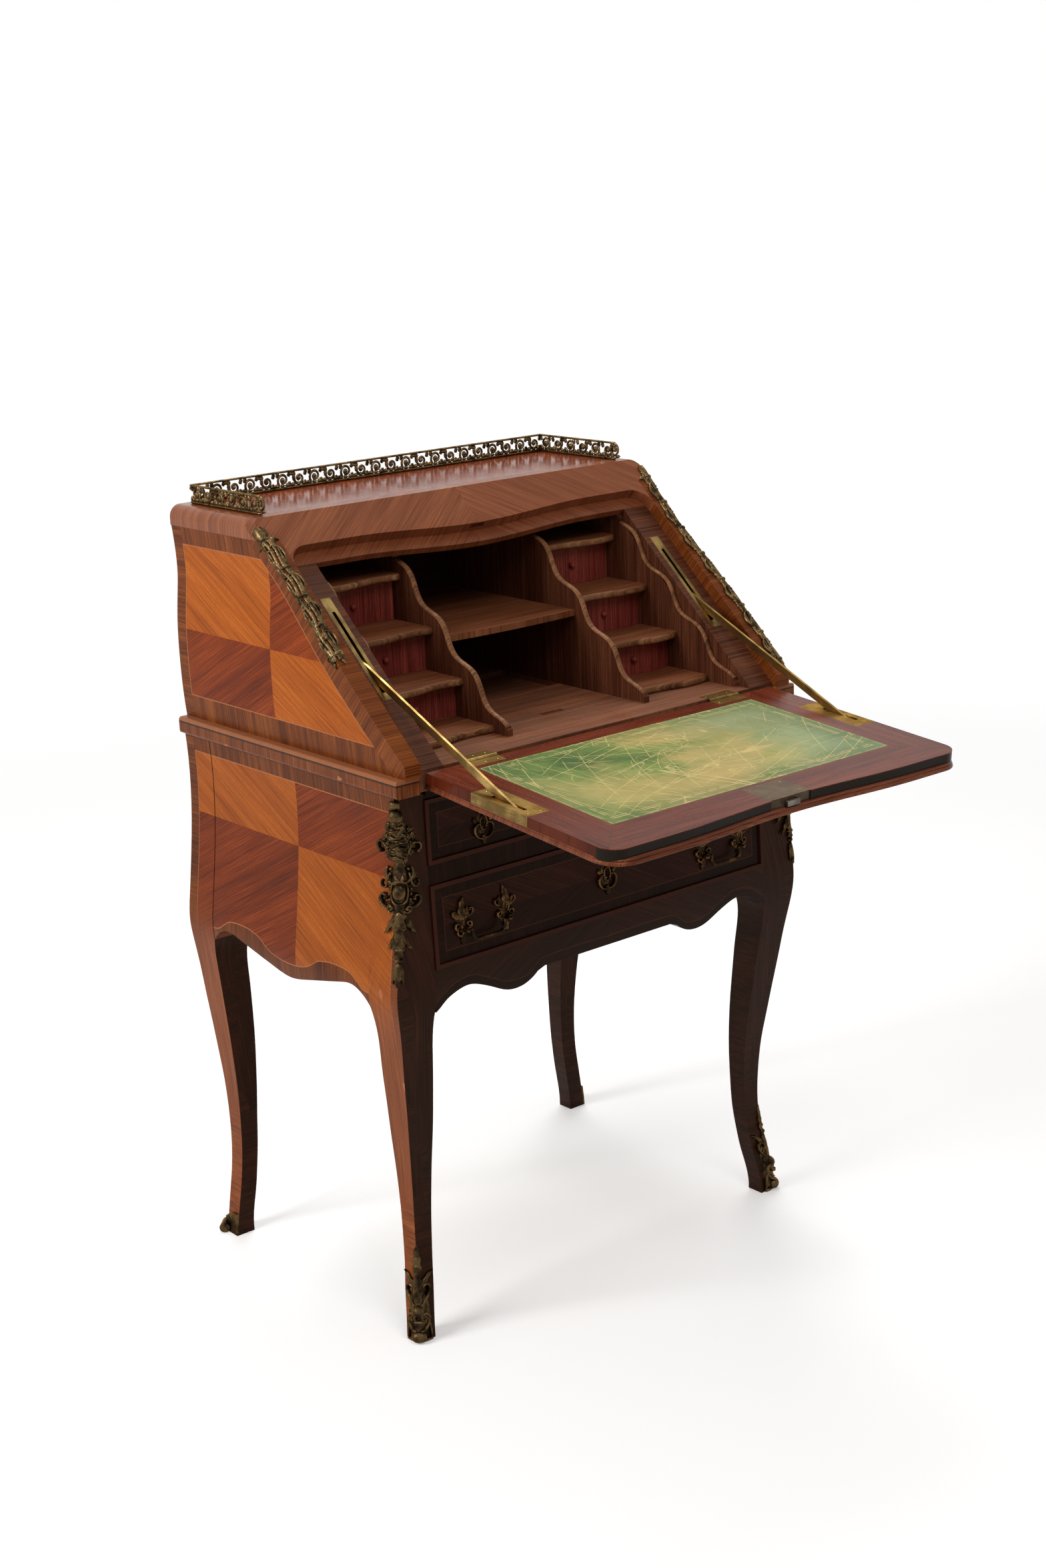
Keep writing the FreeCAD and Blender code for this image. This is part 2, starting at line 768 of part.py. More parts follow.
def inner_drawer(side, row):
    """One small drawer of a bank: front, sides, back, bottom and knob."""
    x0 = partition_inner + partition_thickness + inner_gap
    x1 = outer_partition_inner - inner_gap
    low = step_tops[row + 1] + inner_gap / 2.0
    high = step_tops[row] - step_thickness - inner_gap
    front = step_fronts[row] + riser_setback
    face_back = front + step_wave + inner_front_thickness
    face = waved_board(x0, x1, front, face_back, low, high)
    box = drawer_box(x0, x1, face_back, inner_back_y, low, high, inner_side_thickness,
                     inner_bottom_thickness)
    pull = knob((x0 + x1) / 2.0, front + inner_front_thickness / 2.0, (low + high) / 2.0).cut(face)
    solids = [face] + box + pull.Solids
    if side < 0:
        solids = [mirrored(solid) for solid in solids]
    return solids


def drawer_front(x0, x1, z0, z1):
    """Bombe drawer front with a raised bead round a slightly sunk field."""
    back_y = -drawer_front_back
    face = front_piece(x0, x1, z0, z1, back_y, bead_proud)
    ahead = front_slab(back_y, x0, x1, -field_recess)
    window = block(x0 + bead_width, x1 - bead_width, front_knee_y - overrun, back_y,
                   z0 + bead_width, z1 - bead_width)
    return face.cut(window.cut(ahead))


def corner_skin(leg_shape, grown_shape, shares, low, high, half, corner_y, toward):
    """Cast mount over the corner of a leg: a leaf outline seen along the diagonal."""
    points_right = []
    points_left = []
    for up, out in shares:
        height = low + (high - low) * up
        points_right.append((half * out, height))
        points_left.append((-half * out, height))
    across = Vector(1, toward, 0)
    across.normalize()
    outward = Vector(1, -toward, 0)
    outward.normalize()
    centre = Vector(knee_half_width - leg_sweep, corner_y, 0) - outward * overrun

    def place(size, height):
        return centre + across * size + Vector(0, 0, height)
    right = [place(size, height) for size, height in points_right]
    left = [place(size, height) for size, height in points_left]
    edges = [spline(right), line(right[-1], left[-1]), spline(left), line(left[0], right[0])]
    leaf = outline_face(edges).extrude(outward * (3.0 * overrun))
    return grown_shape.cut(leg_shape).common(leaf)


def toe_scroll(corner_x, corner_y, toward, width):
    """Rolled toe of a sabot, lying across the corner of the foot."""
    across = Vector(1, toward, 0)
    across.normalize()
    outward = Vector(1, -toward, 0)
    outward.normalize()
    centre = Vector(corner_x, corner_y, toe_radius) + outward * (toe_radius - sabot_thickness)
    return Part.makeCylinder(toe_radius, width, centre - across * (width / 2.0), across)


def build_lower_case():
    """Legs, sides, back, rails, aprons, runners and well."""
    right_front = front_leg()
    right_back = back_leg()
    keep("leg_front_right", right_front)
    keep("leg_front_left", mirrored(right_front))
    keep("leg_back_right", right_back)
    keep("leg_back_left", mirrored(right_back))
    side = lower_side()
    keep("lower_side_right", side)
    keep("lower_side_left", mirrored(side))
    back_panel = block(-case_half, case_half, -back_thickness - small_overrun, -small_overrun,
                       long_drawer_low - runner_height, lower_case_height)
    keep("lower_back_panel", back_panel)
    keep("front_apron", front_apron())
    keep("front_middle_rail", front_piece(-case_half, case_half, long_drawer_high,
                                          short_drawer_low, -rail_back))
    top_rail = front_piece(-case_half, case_half, short_drawer_high, lower_case_height, -rail_back)
    ledge_z = (short_drawer_high + lower_case_height) / 2.0
    ledge = front_piece(-case_half, case_half, ledge_z, lower_case_height, -rail_back,
                        front_ledge_proud)
    keep("front_top_rail", top_rail.fuse(ledge).removeSplitter())
    divider = front_piece(half_centre, half_centre + divider_width, short_drawer_low,
                          short_drawer_high, -rail_back)
    keep("front_dividers", both(divider))
    keep("false_front", drawer_front(-half_centre, half_centre, short_drawer_low,
                                     short_drawer_high))
    back_y = -back_thickness - small_overrun
    dust = block(-side_wall_inner, side_wall_inner, -rail_back, back_y,
                 short_drawer_low - dust_board_thickness, short_drawer_low)
    posts = post_width + small_overrun
    for sign in (-1.0, 1.0):
        post_x = sign * side_wall_inner
        dust = dust.cut(block(sign * case_half, post_x + sign * overrun, -rail_back - overrun,
                              front_knee_y + post_width, 0, lower_case_height))
        dust = dust.cut(block(sign * case_half, post_x + sign * overrun, -posts,
                              overrun, 0, lower_case_height))
    keep("dust_board", dust)
    guide = block(half_centre, half_centre + divider_width, -rail_back, back_y,
                  short_drawer_low, short_drawer_high)
    runner_low = long_drawer_low - runner_height
    runner = block(side_wall_inner - runner_width - (side_wall_inner - case_half),
                   side_wall_inner, front_knee_y + post_width, -post_width,
                   runner_low, long_drawer_low)
    keep("drawer_runners", both(guide) + both(runner))
    floor_low = floor_top - floor_thickness
    well_low = short_drawer_low + well_clearance
    outer = block(-half_centre, half_centre, well_cover_front, well_cover_back, well_low, floor_low)
    hollow = block(-half_centre + well_wall, half_centre - well_wall, well_cover_front + well_wall,
                   well_cover_back - well_wall, well_low + well_wall, floor_low + small_overrun)
    keep("well_box", outer.cut(hollow))


def build_ledge():
    """Ledge mouldings between the lower and the upper case."""
    ledge = block(opening_half_width, ledge_half_width, -ledge_front, 0, lower_case_height, upper_foot)
    nose = [edge for edge in ledge.Edges
            if abs(edge.CenterOfMass.x - ledge_half_width) < small_overrun
            and edge.Length > ledge_front / 2.0]
    keep("ledge_mouldings", both(ledge.makeFillet(ledge_nose, nose)))


def build_floor():
    """Writing floor with its well, and the sliding well cover."""
    floor = block(-opening_half_width, opening_half_width, floor_front, inner_back,
                  floor_top - floor_thickness, floor_top)
    recess_low = floor_top - well_cover_thickness - well_cover_gap / 2.0
    cover_half = partition_inner - well_cover_gap
    recess = block(-partition_inner, partition_inner, well_cover_front,
                   well_cover_back + well_cover_travel + well_rim, recess_low,
                   floor_top + small_overrun)
    well = block(-well_half_width, well_half_width, well_cover_front + well_rim,
                 well_cover_back - well_rim, 0, floor_top)
    floor = floor.cut(recess).cut(well)
    for sign in (-1.0, 1.0):
        leaf = hinge_leaf_box(sign, True)
        floor = floor.cut(leaf)
    keep("writing_floor", floor)
    cover = block(-cover_half, cover_half, well_cover_front + well_cover_gap, well_cover_back,
                  floor_top - well_cover_thickness, floor_top)
    dish_y = well_cover_front + well_rim + cover_dish_width
    dish = block(-cover_dish_length / 2.0, cover_dish_length / 2.0, dish_y,
                 dish_y + cover_dish_width, floor_top - cover_dish_depth, floor_top + small_overrun)
    keep("well_cover", cover.cut(dish))


def hinge_leaf_box(sign, on_floor):
    """Flat leaf of one butt hinge, on the floor or on the fall."""
    x0 = sign * hinge_x - hinge_width / 2.0
    x1 = sign * hinge_x + hinge_width / 2.0
    if on_floor:
        return block(x0, x1, hinge_y + hinge_gap, hinge_y + hinge_leaf,
                     floor_top - plate_thickness, floor_top)
    return fall_box(x0, x1, hinge_gap, hinge_leaf, -plate_thickness, 0)


def hinge_half(sign, on_floor):
    """One leaf with its knuckles round the hinge line."""
    x0 = sign * hinge_x - hinge_width / 2.0
    pitch = hinge_width / knuckle_count
    leaf = hinge_leaf_box(sign, on_floor)
    solids = []
    for i in range(knuckle_count):
        if (i % 2 == 0) != on_floor:
            continue
        start = x0 + i * pitch + knuckle_gap / 2.0
        end = start + pitch - knuckle_gap
        knuckle = Part.makeCylinder(knuckle_radius, end - start, Vector(start, hinge_y, hinge_z),
                                    Vector(1, 0, 0))
        if on_floor:
            tongue = block(start, end, hinge_y, hinge_y + hinge_gap, floor_top - plate_thickness,
                           floor_top)
        else:
            tongue = fall_box(start, end, 0, hinge_gap, -plate_thickness, 0)
        solids += [knuckle, tongue]
    half = leaf.fuse(solids).removeSplitter()
    bore = Part.makeCylinder(pin_radius + (0 if on_floor else pin_clearance), hinge_width,
                             Vector(x0, hinge_y, hinge_z), Vector(1, 0, 0))
    return half.cut(bore)


def build_hinges():
    """Two butt hinges: floor leaves with their pins, and fall leaves."""
    floor_leaves = []
    fall_leaves = []
    for sign in (-1.0, 1.0):
        x0 = sign * hinge_x - hinge_width / 2.0
        pin = Part.makeCylinder(pin_radius, hinge_width, Vector(x0, hinge_y, hinge_z),
                                Vector(1, 0, 0))
        floor_leaves += [hinge_half(sign, True), pin]
        fall_leaves.append(hinge_half(sign, False))
    keep("hinge_floor_leaves", floor_leaves)
    keep("hinge_fall_leaves", fall_leaves)


def build_upper_case():
    """Sides, back, top, rail, linings and stay rails."""
    side = upper_side_solid().cut(in_front_of_slope(fall_thickness))
    keep("upper_side_right", side)
    keep("upper_side_left", mirrored(side))
    keep("upper_back_panel", block(-opening_half_width, opening_half_width, -back_thickness, 0,
                                   floor_top - floor_thickness, top_underside))
    keep("top_board", top_slab().cut(in_front_of_slope(0)))
    keep("slope_rail", slope_rail())
    lining = block(lining_inner, lining_inner + lining_thickness, inner_back, -2.0 * knee_depth,
                   floor_top, top_underside)
    lining = lining.cut(in_front_of_slope(-rebate_thickness))
    keep("pocket_linings", both(lining))
    lip_reach = opening_reach - rebate_lip
    strip = slope_box(lining_inner, opening_half_width, -overrun, lip_reach,
                      -rebate_thickness, -rest_gap)
    strip = strip.common(block(0, knee_half_width, 0, -2.0 * knee_depth, floor_top, case_top))
    wood_slot = slope_box(stay_x - wood_slot_width / 2.0, stay_x + wood_slot_width / 2.0,
                          slot_low, slot_high + wood_slot_extra, -rebate_thickness - small_overrun,
                          small_overrun)
    seat = slope_box(stay_x - slot_plate_width / 2.0, stay_x + slot_plate_width / 2.0,
                     slot_plate_low, slot_plate_high, -rest_gap - plate_thickness, small_overrun)
    keep("stay_rails", both(strip.cut(wood_slot).cut(seat)))
    plate = slope_box(stay_x - slot_plate_width / 2.0, stay_x + slot_plate_width / 2.0,
                      slot_plate_low, slot_plate_high, -rest_gap - plate_thickness, -rest_gap)
    slot = slope_box(stay_x - slot_width / 2.0, stay_x + slot_width / 2.0,
                     slot_low, slot_high, -overrun, overrun)
    keep("slot_plates", both(plate.cut(slot)))


def build_inner_fittings():
    """Partitions, shelf, stepped boards and the six small drawers."""
    inner = partition(partition_inner, partition_inner + partition_thickness, 0.0)
    keep("inner_partitions", both(inner))
    outer = partition(outer_partition_inner, lining_inner, outer_shift)
    keep("outer_partitions", both(outer))
    mid = Vector(0, shelf_front - shelf_bow, shelf_top)
    left = Vector(-partition_inner, shelf_front, shelf_top)
    right = Vector(partition_inner, shelf_front, shelf_top)
    back_right = Vector(partition_inner, inner_back, shelf_top)
    back_left = Vector(-partition_inner, inner_back, shelf_top)
    edges = [Part.Arc(left, mid, right).toShape(), line(right, back_right),
             line(back_right, back_left), line(back_left, left)]
    keep("centre_shelf", outline_face(edges).extrude(Vector(0, 0, -shelf_thickness)))
    boards = []
    x0 = partition_inner + partition_thickness
    for top, front in zip(step_tops, step_fronts):
        board = waved_board(x0, outer_partition_inner, front, inner_back, top - step_thickness, top)
        boards.append(board)
    keep("step_boards", boards + [mirrored(board) for board in boards])
    names = ["top", "middle", "bottom"]
    for row, name in enumerate(names):
        keep("small_drawer_left_" + name, inner_drawer(-1, row))
        keep("small_drawer_right_" + name, inner_drawer(1, row))


def build_fall():
    """Fall with leather, lip, lock, plates and the two stays."""
    body = shaped_plate(fall_point, fall_half_width, hinge_gap, fall_length, fall_corner,
                        -fall_thickness, 0)
    lip_low = -fall_thickness - lip_below
    lip_high = -fall_thickness + lip_beside
    outer = shaped_plate(fall_point, fall_half_width + lip_out, hinge_gap, fall_length + lip_out,
                         fall_corner + lip_out, lip_low, lip_high)
    inner = shaped_plate(fall_point, fall_half_width - lip_in, hinge_gap - small_overrun,
                         fall_length - lip_in, fall_corner - lip_in, lip_low - small_overrun,
                         lip_high + small_overrun)
    lip = outer.cut(inner).cut(body)
    keep("fall_lip", lip)
    leather_bed = fall_box(-leather_half_width, leather_half_width, leather_near, leather_far,
                           -leather_thickness, small_overrun)
    leather = fall_box(-leather_half_width, leather_half_width, leather_near, leather_far,
                       -leather_thickness, 0)
    keep("leather_panel", leather)
    body = body.cut(leather_bed)
    plates = []
    pins = []
    stays = []
    for sign in (-1.0, 1.0):
        outer_x = sign * fall_half_width
        inner_x = sign * (fall_half_width - stay_plate_width)
        top_leaf = fall_box(inner_x, outer_x, stay_plate_low, stay_plate_high,
                            -plate_thickness, 0)
        side_leaf = fall_box(outer_x - sign * plate_thickness, outer_x, stay_plate_low,
                             stay_plate_high, -fall_thickness + lip_beside, 0)
        angle = top_leaf.fuse(side_leaf).removeSplitter()
        body = body.cut(angle)
        x = sign * stay_x
        pocket = fall_box(x - pocket_width / 2.0, x + pocket_width / 2.0, pocket_low, pocket_high,
                          -pocket_depth, small_overrun)
        body = body.cut(pocket)
        plates.append(angle.cut(pocket))
        pin_at = fall_point(stay_pivot_reach, -stay_pivot_depth, x - pocket_width)
        pin = Part.makeCylinder(pin_radius, 2.0 * pocket_width, pin_at, Vector(1, 0, 0))
        body = body.cut(pin)
        pins.append(pin)
        stays.append(stay(x))
        body = body.cut(hinge_leaf_box(sign, False))
    keep("stay_plates", plates + pins)
    keep("stay_left", stays[0])
    keep("stay_right", stays[1])
    build_lock(body)


def build_lock(body):
    """Lock plate let into the middle of the fall's far edge, with its bolt."""
    centre_edge = fall_length
    body = body.cut(fall_box(-lock_half_width, lock_half_width, lock_edge, centre_edge + overrun,
                             -fall_thickness + lip_beside, small_overrun))
    top_leaf = fall_box(-lock_half_width, lock_half_width, lock_near, lock_edge,
                        -plate_thickness, 0)
    edge_leaf = fall_box(-lock_half_width, lock_half_width, lock_edge - plate_thickness, lock_edge,
                         -fall_thickness + lip_beside, 0)
    plate = top_leaf.fuse(edge_leaf).removeSplitter()
    body = body.cut(plate)
    low = -bolt_depth / 2.0 - bolt_height
    high = -bolt_depth / 2.0
    way = fall_box(-bolt_width / 2.0, bolt_width / 2.0, lock_edge - bolt_length - bolt_proud,
                   lock_edge + overrun, low, high)
    plate = plate.cut(way)
    body = body.cut(way)
    gap = pin_clearance
    bolt = fall_box(-bolt_width / 2.0 + gap, bolt_width / 2.0 - gap,
                    lock_edge - bolt_length + bolt_proud, lock_edge + bolt_proud,
                    low + gap, high - gap)
    keep("fall_panel", body)
    keep("lock_plate", plate)
    keep("lock_bolt", bolt)


def stay_angle():
    """Direction of the open stay, from its pivot to where it crosses the slot plate."""
    pivot = fall_point(stay_pivot_reach, -stay_pivot_depth)
    cross = slope_point(stay_open_cross, 0)
    return pivot, cross - pivot


def stay(x):
    """Flat brass bar with an eye at its pivot and a stop head at its far end."""
    pivot, reach = stay_angle()
    along = Vector(reach)
    along.normalize()
    up = Vector(0, -along.z, along.y)
    end = pivot + along * (reach.Length + stay_head_reach)
    half = stay_width / 2.0
    start_x = Vector(x - stay_thickness / 2.0, 0, 0)
    corners = [pivot + up * half + start_x, end + up * half + start_x,
               end - up * half + start_x, pivot - up * half + start_x]
    bar = rounded_face(corners).extrude(Vector(stay_thickness, 0, 0))
    eye = Part.makeCylinder(half, stay_thickness, pivot + start_x, Vector(1, 0, 0))
    head = Part.makeCylinder(half, stay_head_width, end + Vector(x - stay_head_width / 2.0, 0, 0),
                             Vector(1, 0, 0))
    bore = Part.makeCylinder(pin_radius + pin_clearance, 2.0 * stay_head_width,
                             pivot + Vector(x - stay_head_width, 0, 0), Vector(1, 0, 0))
    return bar.fuse([eye, head]).removeSplitter().cut(bore)


def build_drawers():
    """Two short drawers over one long drawer, with handles and keyhole plate."""
    back_y = -drawer_back_clearance
    box_front = -drawer_front_back
    outer_x = case_half - drawer_gap
    inner_x = half_centre + divider_width + drawer_gap
    low = short_drawer_low + drawer_gap / 2.0
    high = short_drawer_high - drawer_gap
    front = drawer_front(inner_x, outer_x, low, high)
    box = drawer_box(inner_x, outer_x, box_front, back_y, low, high - drawer_box_drop,
                     drawer_side_thickness, drawer_bottom_thickness)
    keep("short_drawer_right_front", front)
    keep("short_drawer_left_front", mirrored(front))
    keep("short_drawer_right_box", box)
    keep("short_drawer_left_box", [mirrored(board) for board in box])
    low = long_drawer_low + drawer_gap / 2.0
    high = long_drawer_high - drawer_gap
    front = drawer_front(-outer_x, outer_x, low, high)
    keep("long_drawer_front", front)
    keep("long_drawer_box", drawer_box(-outer_x, outer_x, box_front, back_y, low,
                                       high - drawer_box_drop, drawer_side_thickness,
                                       drawer_bottom_thickness))
    build_handles()


def face_y(height):
    """Front of a drawer's sunk field at a height."""
    return front_knee_y + front_inset(height) + field_recess


def build_handles():
    """Bail handles on their posts, and the keyhole plate, seated on the drawer front."""
    posts = []
    surface = face_y(handle_z)
    axis_y = surface - post_axis_reach
    into = rosette_thickness * 2.0
    wood = front_slab(-drawer_front_back, -case_half, case_half, seat_gap - field_recess)
    for sign in (-1.0, 1.0):
        for side in (-1.0, 1.0):
            x = sign * handle_x + side * post_spacing / 2.0
            stem = Part.makeCylinder(post_radius, post_reach + into,
                                     Vector(x, surface + into, handle_z), Vector(0, -1, 0))
            oval = Part.Ellipse(Vector(0, 0, 0), rosette_height / 2.0, rosette_width / 2.0).toShape()
            oval.rotate(Vector(0, 0, 0), Vector(0, 0, 1), 90)
            oval.rotate(Vector(0, 0, 0), Vector(1, 0, 0), 90)
            oval.translate(Vector(x, surface + into, rosette_z))
            disc = Part.Face(Part.Wire([oval])).extrude(Vector(0, -rosette_thickness - into, 0))
            bore = Part.makeCylinder(pin_radius + pin_clearance, 4.0 * post_radius,
                                     Vector(x - 2.0 * post_radius, axis_y, handle_z), Vector(1, 0, 0))
            posts.append(stem.fuse(disc).removeSplitter().cut(wood).cut(bore))
    plate_z = (long_drawer_low + long_drawer_high) / 2.0
    surface = face_y(plate_z)
    oval = Part.Ellipse(Vector(0, 0, 0), escutcheon_half_height, escutcheon_half_width).toShape()
    oval.rotate(Vector(0, 0, 0), Vector(0, 0, 1), 90)
    oval.rotate(Vector(0, 0, 0), Vector(1, 0, 0), 90)
    oval.translate(Vector(0, surface + into, plate_z))
    plate = Part.Face(Part.Wire([oval])).extrude(Vector(0, -rosette_thickness - into, 0))
    keyhole = Part.makeCylinder(keyhole_radius, 2.0 * overrun, Vector(0, surface + overrun, plate_z),
                                Vector(0, -1, 0))
    posts.append(plate.cut(wood).cut(keyhole))
    keep("long_drawer_mounts", posts)
    for name, sign in (("left", -1.0), ("right", 1.0)):
        keep("bail_" + name, bail(sign * handle_x, axis_y))


def bail(x, y):
    """Hanging bail: a U-shaped rod with two short pins that turn in the posts."""
    half = bail_half_width
    low = handle_z - bail_drop
    quarter = bail_bend * (1.0 - math.sqrt(0.5))
    top_left = Vector(x - half, y, handle_z)
    top_right = Vector(x + half, y, handle_z)
    points = [Vector(x - half, y, low + bail_bend), Vector(x - half + bail_bend, y, low),
              Vector(x + half - bail_bend, y, low), Vector(x + half, y, low + bail_bend)]
    mid_left = Vector(x - half + quarter, y, low + quarter)
    mid_right = Vector(x + half - quarter, y, low + quarter)
    edges = [line(top_left, points[0]), Part.Arc(points[0], mid_left, points[1]).toShape(),
             line(points[1], points[2]), Part.Arc(points[2], mid_right, points[3]).toShape(),
             line(points[3], top_right)]
    circle = Part.Wire([Part.Circle(top_left, Vector(0, 0, 1), bail_radius).toShape()])
    rod = Part.Wire(edges).makePipeShell([circle], True, False)
    pins = []
    reach = post_spacing / 2.0 - half + post_radius
    for side in (-1.0, 1.0):
        start = Vector(x + side * half, y, handle_z)
        pins.append(Part.makeCylinder(pin_radius, reach, start, Vector(side, 0, 0)))
        pins.append(Part.makeSphere(bail_radius, Vector(x + side * half, y, handle_z)))
    return rod.fuse(pins).removeSplitter()


def gallery_run(length, end_curve):
    """Straight run of gallery along X from zero: pierced plate between two rails."""
    height = gallery_top - case_top
    plate = block(0, length, -gallery_plate / 2.0, gallery_plate / 2.0, 0, height)
    holes = []
    count = int(length // gallery_pitch)
    margin = (length - count * gallery_pitch) / 2.0
    middle = height / 2.0
    for i in range(count):
        x = margin + (i + 0.5) * gallery_pitch
        holes.append(Part.makeCylinder(gallery_hole, overrun, Vector(x, overrun / 2.0, middle),
                                       Vector(0, -1, 0)))
        for side in (-1.0, 1.0):
            place = Vector(x + side * gallery_pitch * gallery_side_share, overrun / 2.0,
                           middle + side * gallery_hole * gallery_lift_share)
            holes.append(Part.makeCylinder(gallery_small_hole, overrun, place, Vector(0, -1, 0)))
    plate = plate.cut(Part.makeCompound(holes))
    foot = block(0, length, -gallery_rail / 2.0, gallery_rail / 2.0, 0, gallery_rail_height)
    head = block(0, length, -gallery_rail / 2.0, gallery_rail / 2.0, height - gallery_rail_height,
                 height)
    run = plate.fuse([foot, head]).removeSplitter()
    if end_curve:
        corner = block(-small_overrun, end_curve, -overrun, overrun, height - end_curve,
                       height + small_overrun)
        drum = Part.makeCylinder(end_curve, 2.0 * overrun, Vector(end_curve, overrun,
                                                                  height - end_curve),
                                 Vector(0, -1, 0))
        run = run.cut(corner.cut(drum))
    return run


def build_gallery():
    """Three-sided pierced gallery: the back run and two side runs."""
    half = gallery_half_width
    back = gallery_run(2.0 * half + gallery_rail, 0)
    back.translate(Vector(-half - gallery_rail / 2.0, gallery_back_y, case_top))
    length = gallery_back_y - gallery_front_y - gallery_rail / 2.0
    side = gallery_run(length, gallery_end_curve)
    side.rotate(Vector(0, 0, 0), Vector(0, 0, 1), 90)
    side.translate(Vector(half, gallery_front_y, case_top))
    keep("gallery", [back] + both(side))


def build_mounts():
    """Corner mounts, sabots and the strips along the slope."""
    leg_shape = front_leg()
    grown = front_leg(mount_thickness)
    corner_y = front_knee_y + leg_sweep
    corner = corner_skin(leg_shape, grown, corner_mount_shares, corner_mount_low,
                         corner_mount_high, corner_mount_half, corner_y, 1.0)
    keep("corner_mounts", both(corner))
    shod = front_leg(sabot_thickness)
    sabot = corner_skin(leg_shape, shod, front_sabot_shares, 0, front_sabot_height,
                        front_sabot_half, corner_y, 1.0)
    foot_inset = side_inset(0)
    toe = toe_scroll(knee_half_width - foot_inset, front_knee_y + front_inset(0), 1.0, toe_width)
    sabot = sabot.fuse(toe.cut(leg_shape)).removeSplitter()
    keep("front_sabots", both(sabot))
    back_shape = back_leg()
    back_shod = back_leg(sabot_thickness)
    sabot = corner_skin(back_shape, back_shod, back_sabot_shares, 0, back_sabot_height,
                        front_sabot_half, -leg_sweep, -1.0)
    toe = toe_scroll(knee_half_width - foot_inset, -foot_inset * back_sweep_share, -1.0, toe_width)
    sabot = sabot.fuse(toe.cut(back_shape)).removeSplitter()
    keep("back_sabots", both(sabot))
    side = upper_side_solid().cut(in_front_of_slope(fall_thickness))
    grown_side = upper_side_solid(slope_mount_thickness).cut(upper_side_solid(-slope_mount_wrap))
    top = top_slab().cut(in_front_of_slope(fall_thickness))
    grown_top = top_slab(slope_mount_thickness).cut(top_slab(-slope_mount_wrap))
    strips = []
    for low in (left_slope_mount_low, right_slope_mount_low):
        zone = slope_box(opening_half_width, knee_half_width, low, slope_mount_high,
                         fall_thickness - slope_mount_wrap, fall_thickness + slope_mount_thickness)
        over_side = grown_side.common(zone).cut(side)
        over_top = grown_top.common(zone).cut(top).common(
            block(0, knee_half_width, 0, -knee_depth, top_underside, case_top + overrun))
        strips.append(over_side.fuse(over_top).removeSplitter())
    keep("slope_mounts", [mirrored(strips[0]), strips[1]])


def place_and_write():
    """Move everything so that the origin is under the middle of its box, and write the nodes."""
    box = FreeCAD.BoundBox()
    for shape in node_shapes.values():
        box.add(shape.BoundBox)
    exact = Part.makeCompound(list(node_shapes.values())).optimalBoundingBox(False)
    shift = Vector(-(exact.XMin + exact.XMax) / 2.0, -(exact.YMin + exact.YMax) / 2.0, -exact.ZMin)
    print("shift", [round(v, 4) for v in shift])
    print("box", [round(v, 3) for v in (exact.XLength, exact.YLength, exact.ZLength)])
    os.makedirs("parts", exist_ok=True)
    for name, shape in node_shapes.items():
        moved = shape.copy()
        moved.translate(shift)
        if not moved.isValid():
            print("not valid:", name)
        print(name, len(moved.Solids), round(moved.Volume))
        moved.exportStep("parts/" + name + ".step")


build_lower_case()
build_ledge()
build_floor()
build_hinges()
build_upper_case()
build_inner_fittings()
build_fall()
build_drawers()
build_gallery()
build_mounts()
place_and_write()
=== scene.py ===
# %% [markdown]
# A slant-front writing desk, dressed for its picture.
# The wooden parts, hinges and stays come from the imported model, and stay where they are.
# This script gives each of them a finish, adds the cast bronzes, the gallery, the moulding and
# the screws that the plain model leaves out, and then sets the floor, the lamps and the camera.
# Lengths are metres, apart from the ornament, which is drawn in millimetres. X runs to the desk's
# right, Y to its back and Z up.

# %% Load the frame
import functools
import math

import bmesh
import bpy
import numpy as np
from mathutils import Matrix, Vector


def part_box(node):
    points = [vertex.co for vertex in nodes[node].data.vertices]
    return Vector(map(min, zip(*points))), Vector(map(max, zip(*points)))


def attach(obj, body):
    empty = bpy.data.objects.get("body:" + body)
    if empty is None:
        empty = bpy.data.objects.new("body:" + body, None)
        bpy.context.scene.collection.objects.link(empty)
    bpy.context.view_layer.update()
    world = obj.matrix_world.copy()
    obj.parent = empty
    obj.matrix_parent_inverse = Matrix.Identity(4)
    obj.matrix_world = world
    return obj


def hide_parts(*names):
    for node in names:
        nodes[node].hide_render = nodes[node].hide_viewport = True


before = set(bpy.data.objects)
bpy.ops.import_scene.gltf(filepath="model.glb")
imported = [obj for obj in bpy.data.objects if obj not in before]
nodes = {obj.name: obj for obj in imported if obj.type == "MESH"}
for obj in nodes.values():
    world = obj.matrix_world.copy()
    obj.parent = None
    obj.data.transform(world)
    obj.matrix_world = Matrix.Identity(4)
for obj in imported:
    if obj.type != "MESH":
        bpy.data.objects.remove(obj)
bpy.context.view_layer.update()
print("pieces in the frame:", len(nodes))

# %% [markdown]
# A finish is a small network of nodes. Written as plain arithmetic it is far easier to read than
# as a list of links, so a class wraps one output and turns + - * / into Math nodes.

# %% Signals: arithmetic on node outputs
SHEEN = (1.0, 0.72, 0.44)


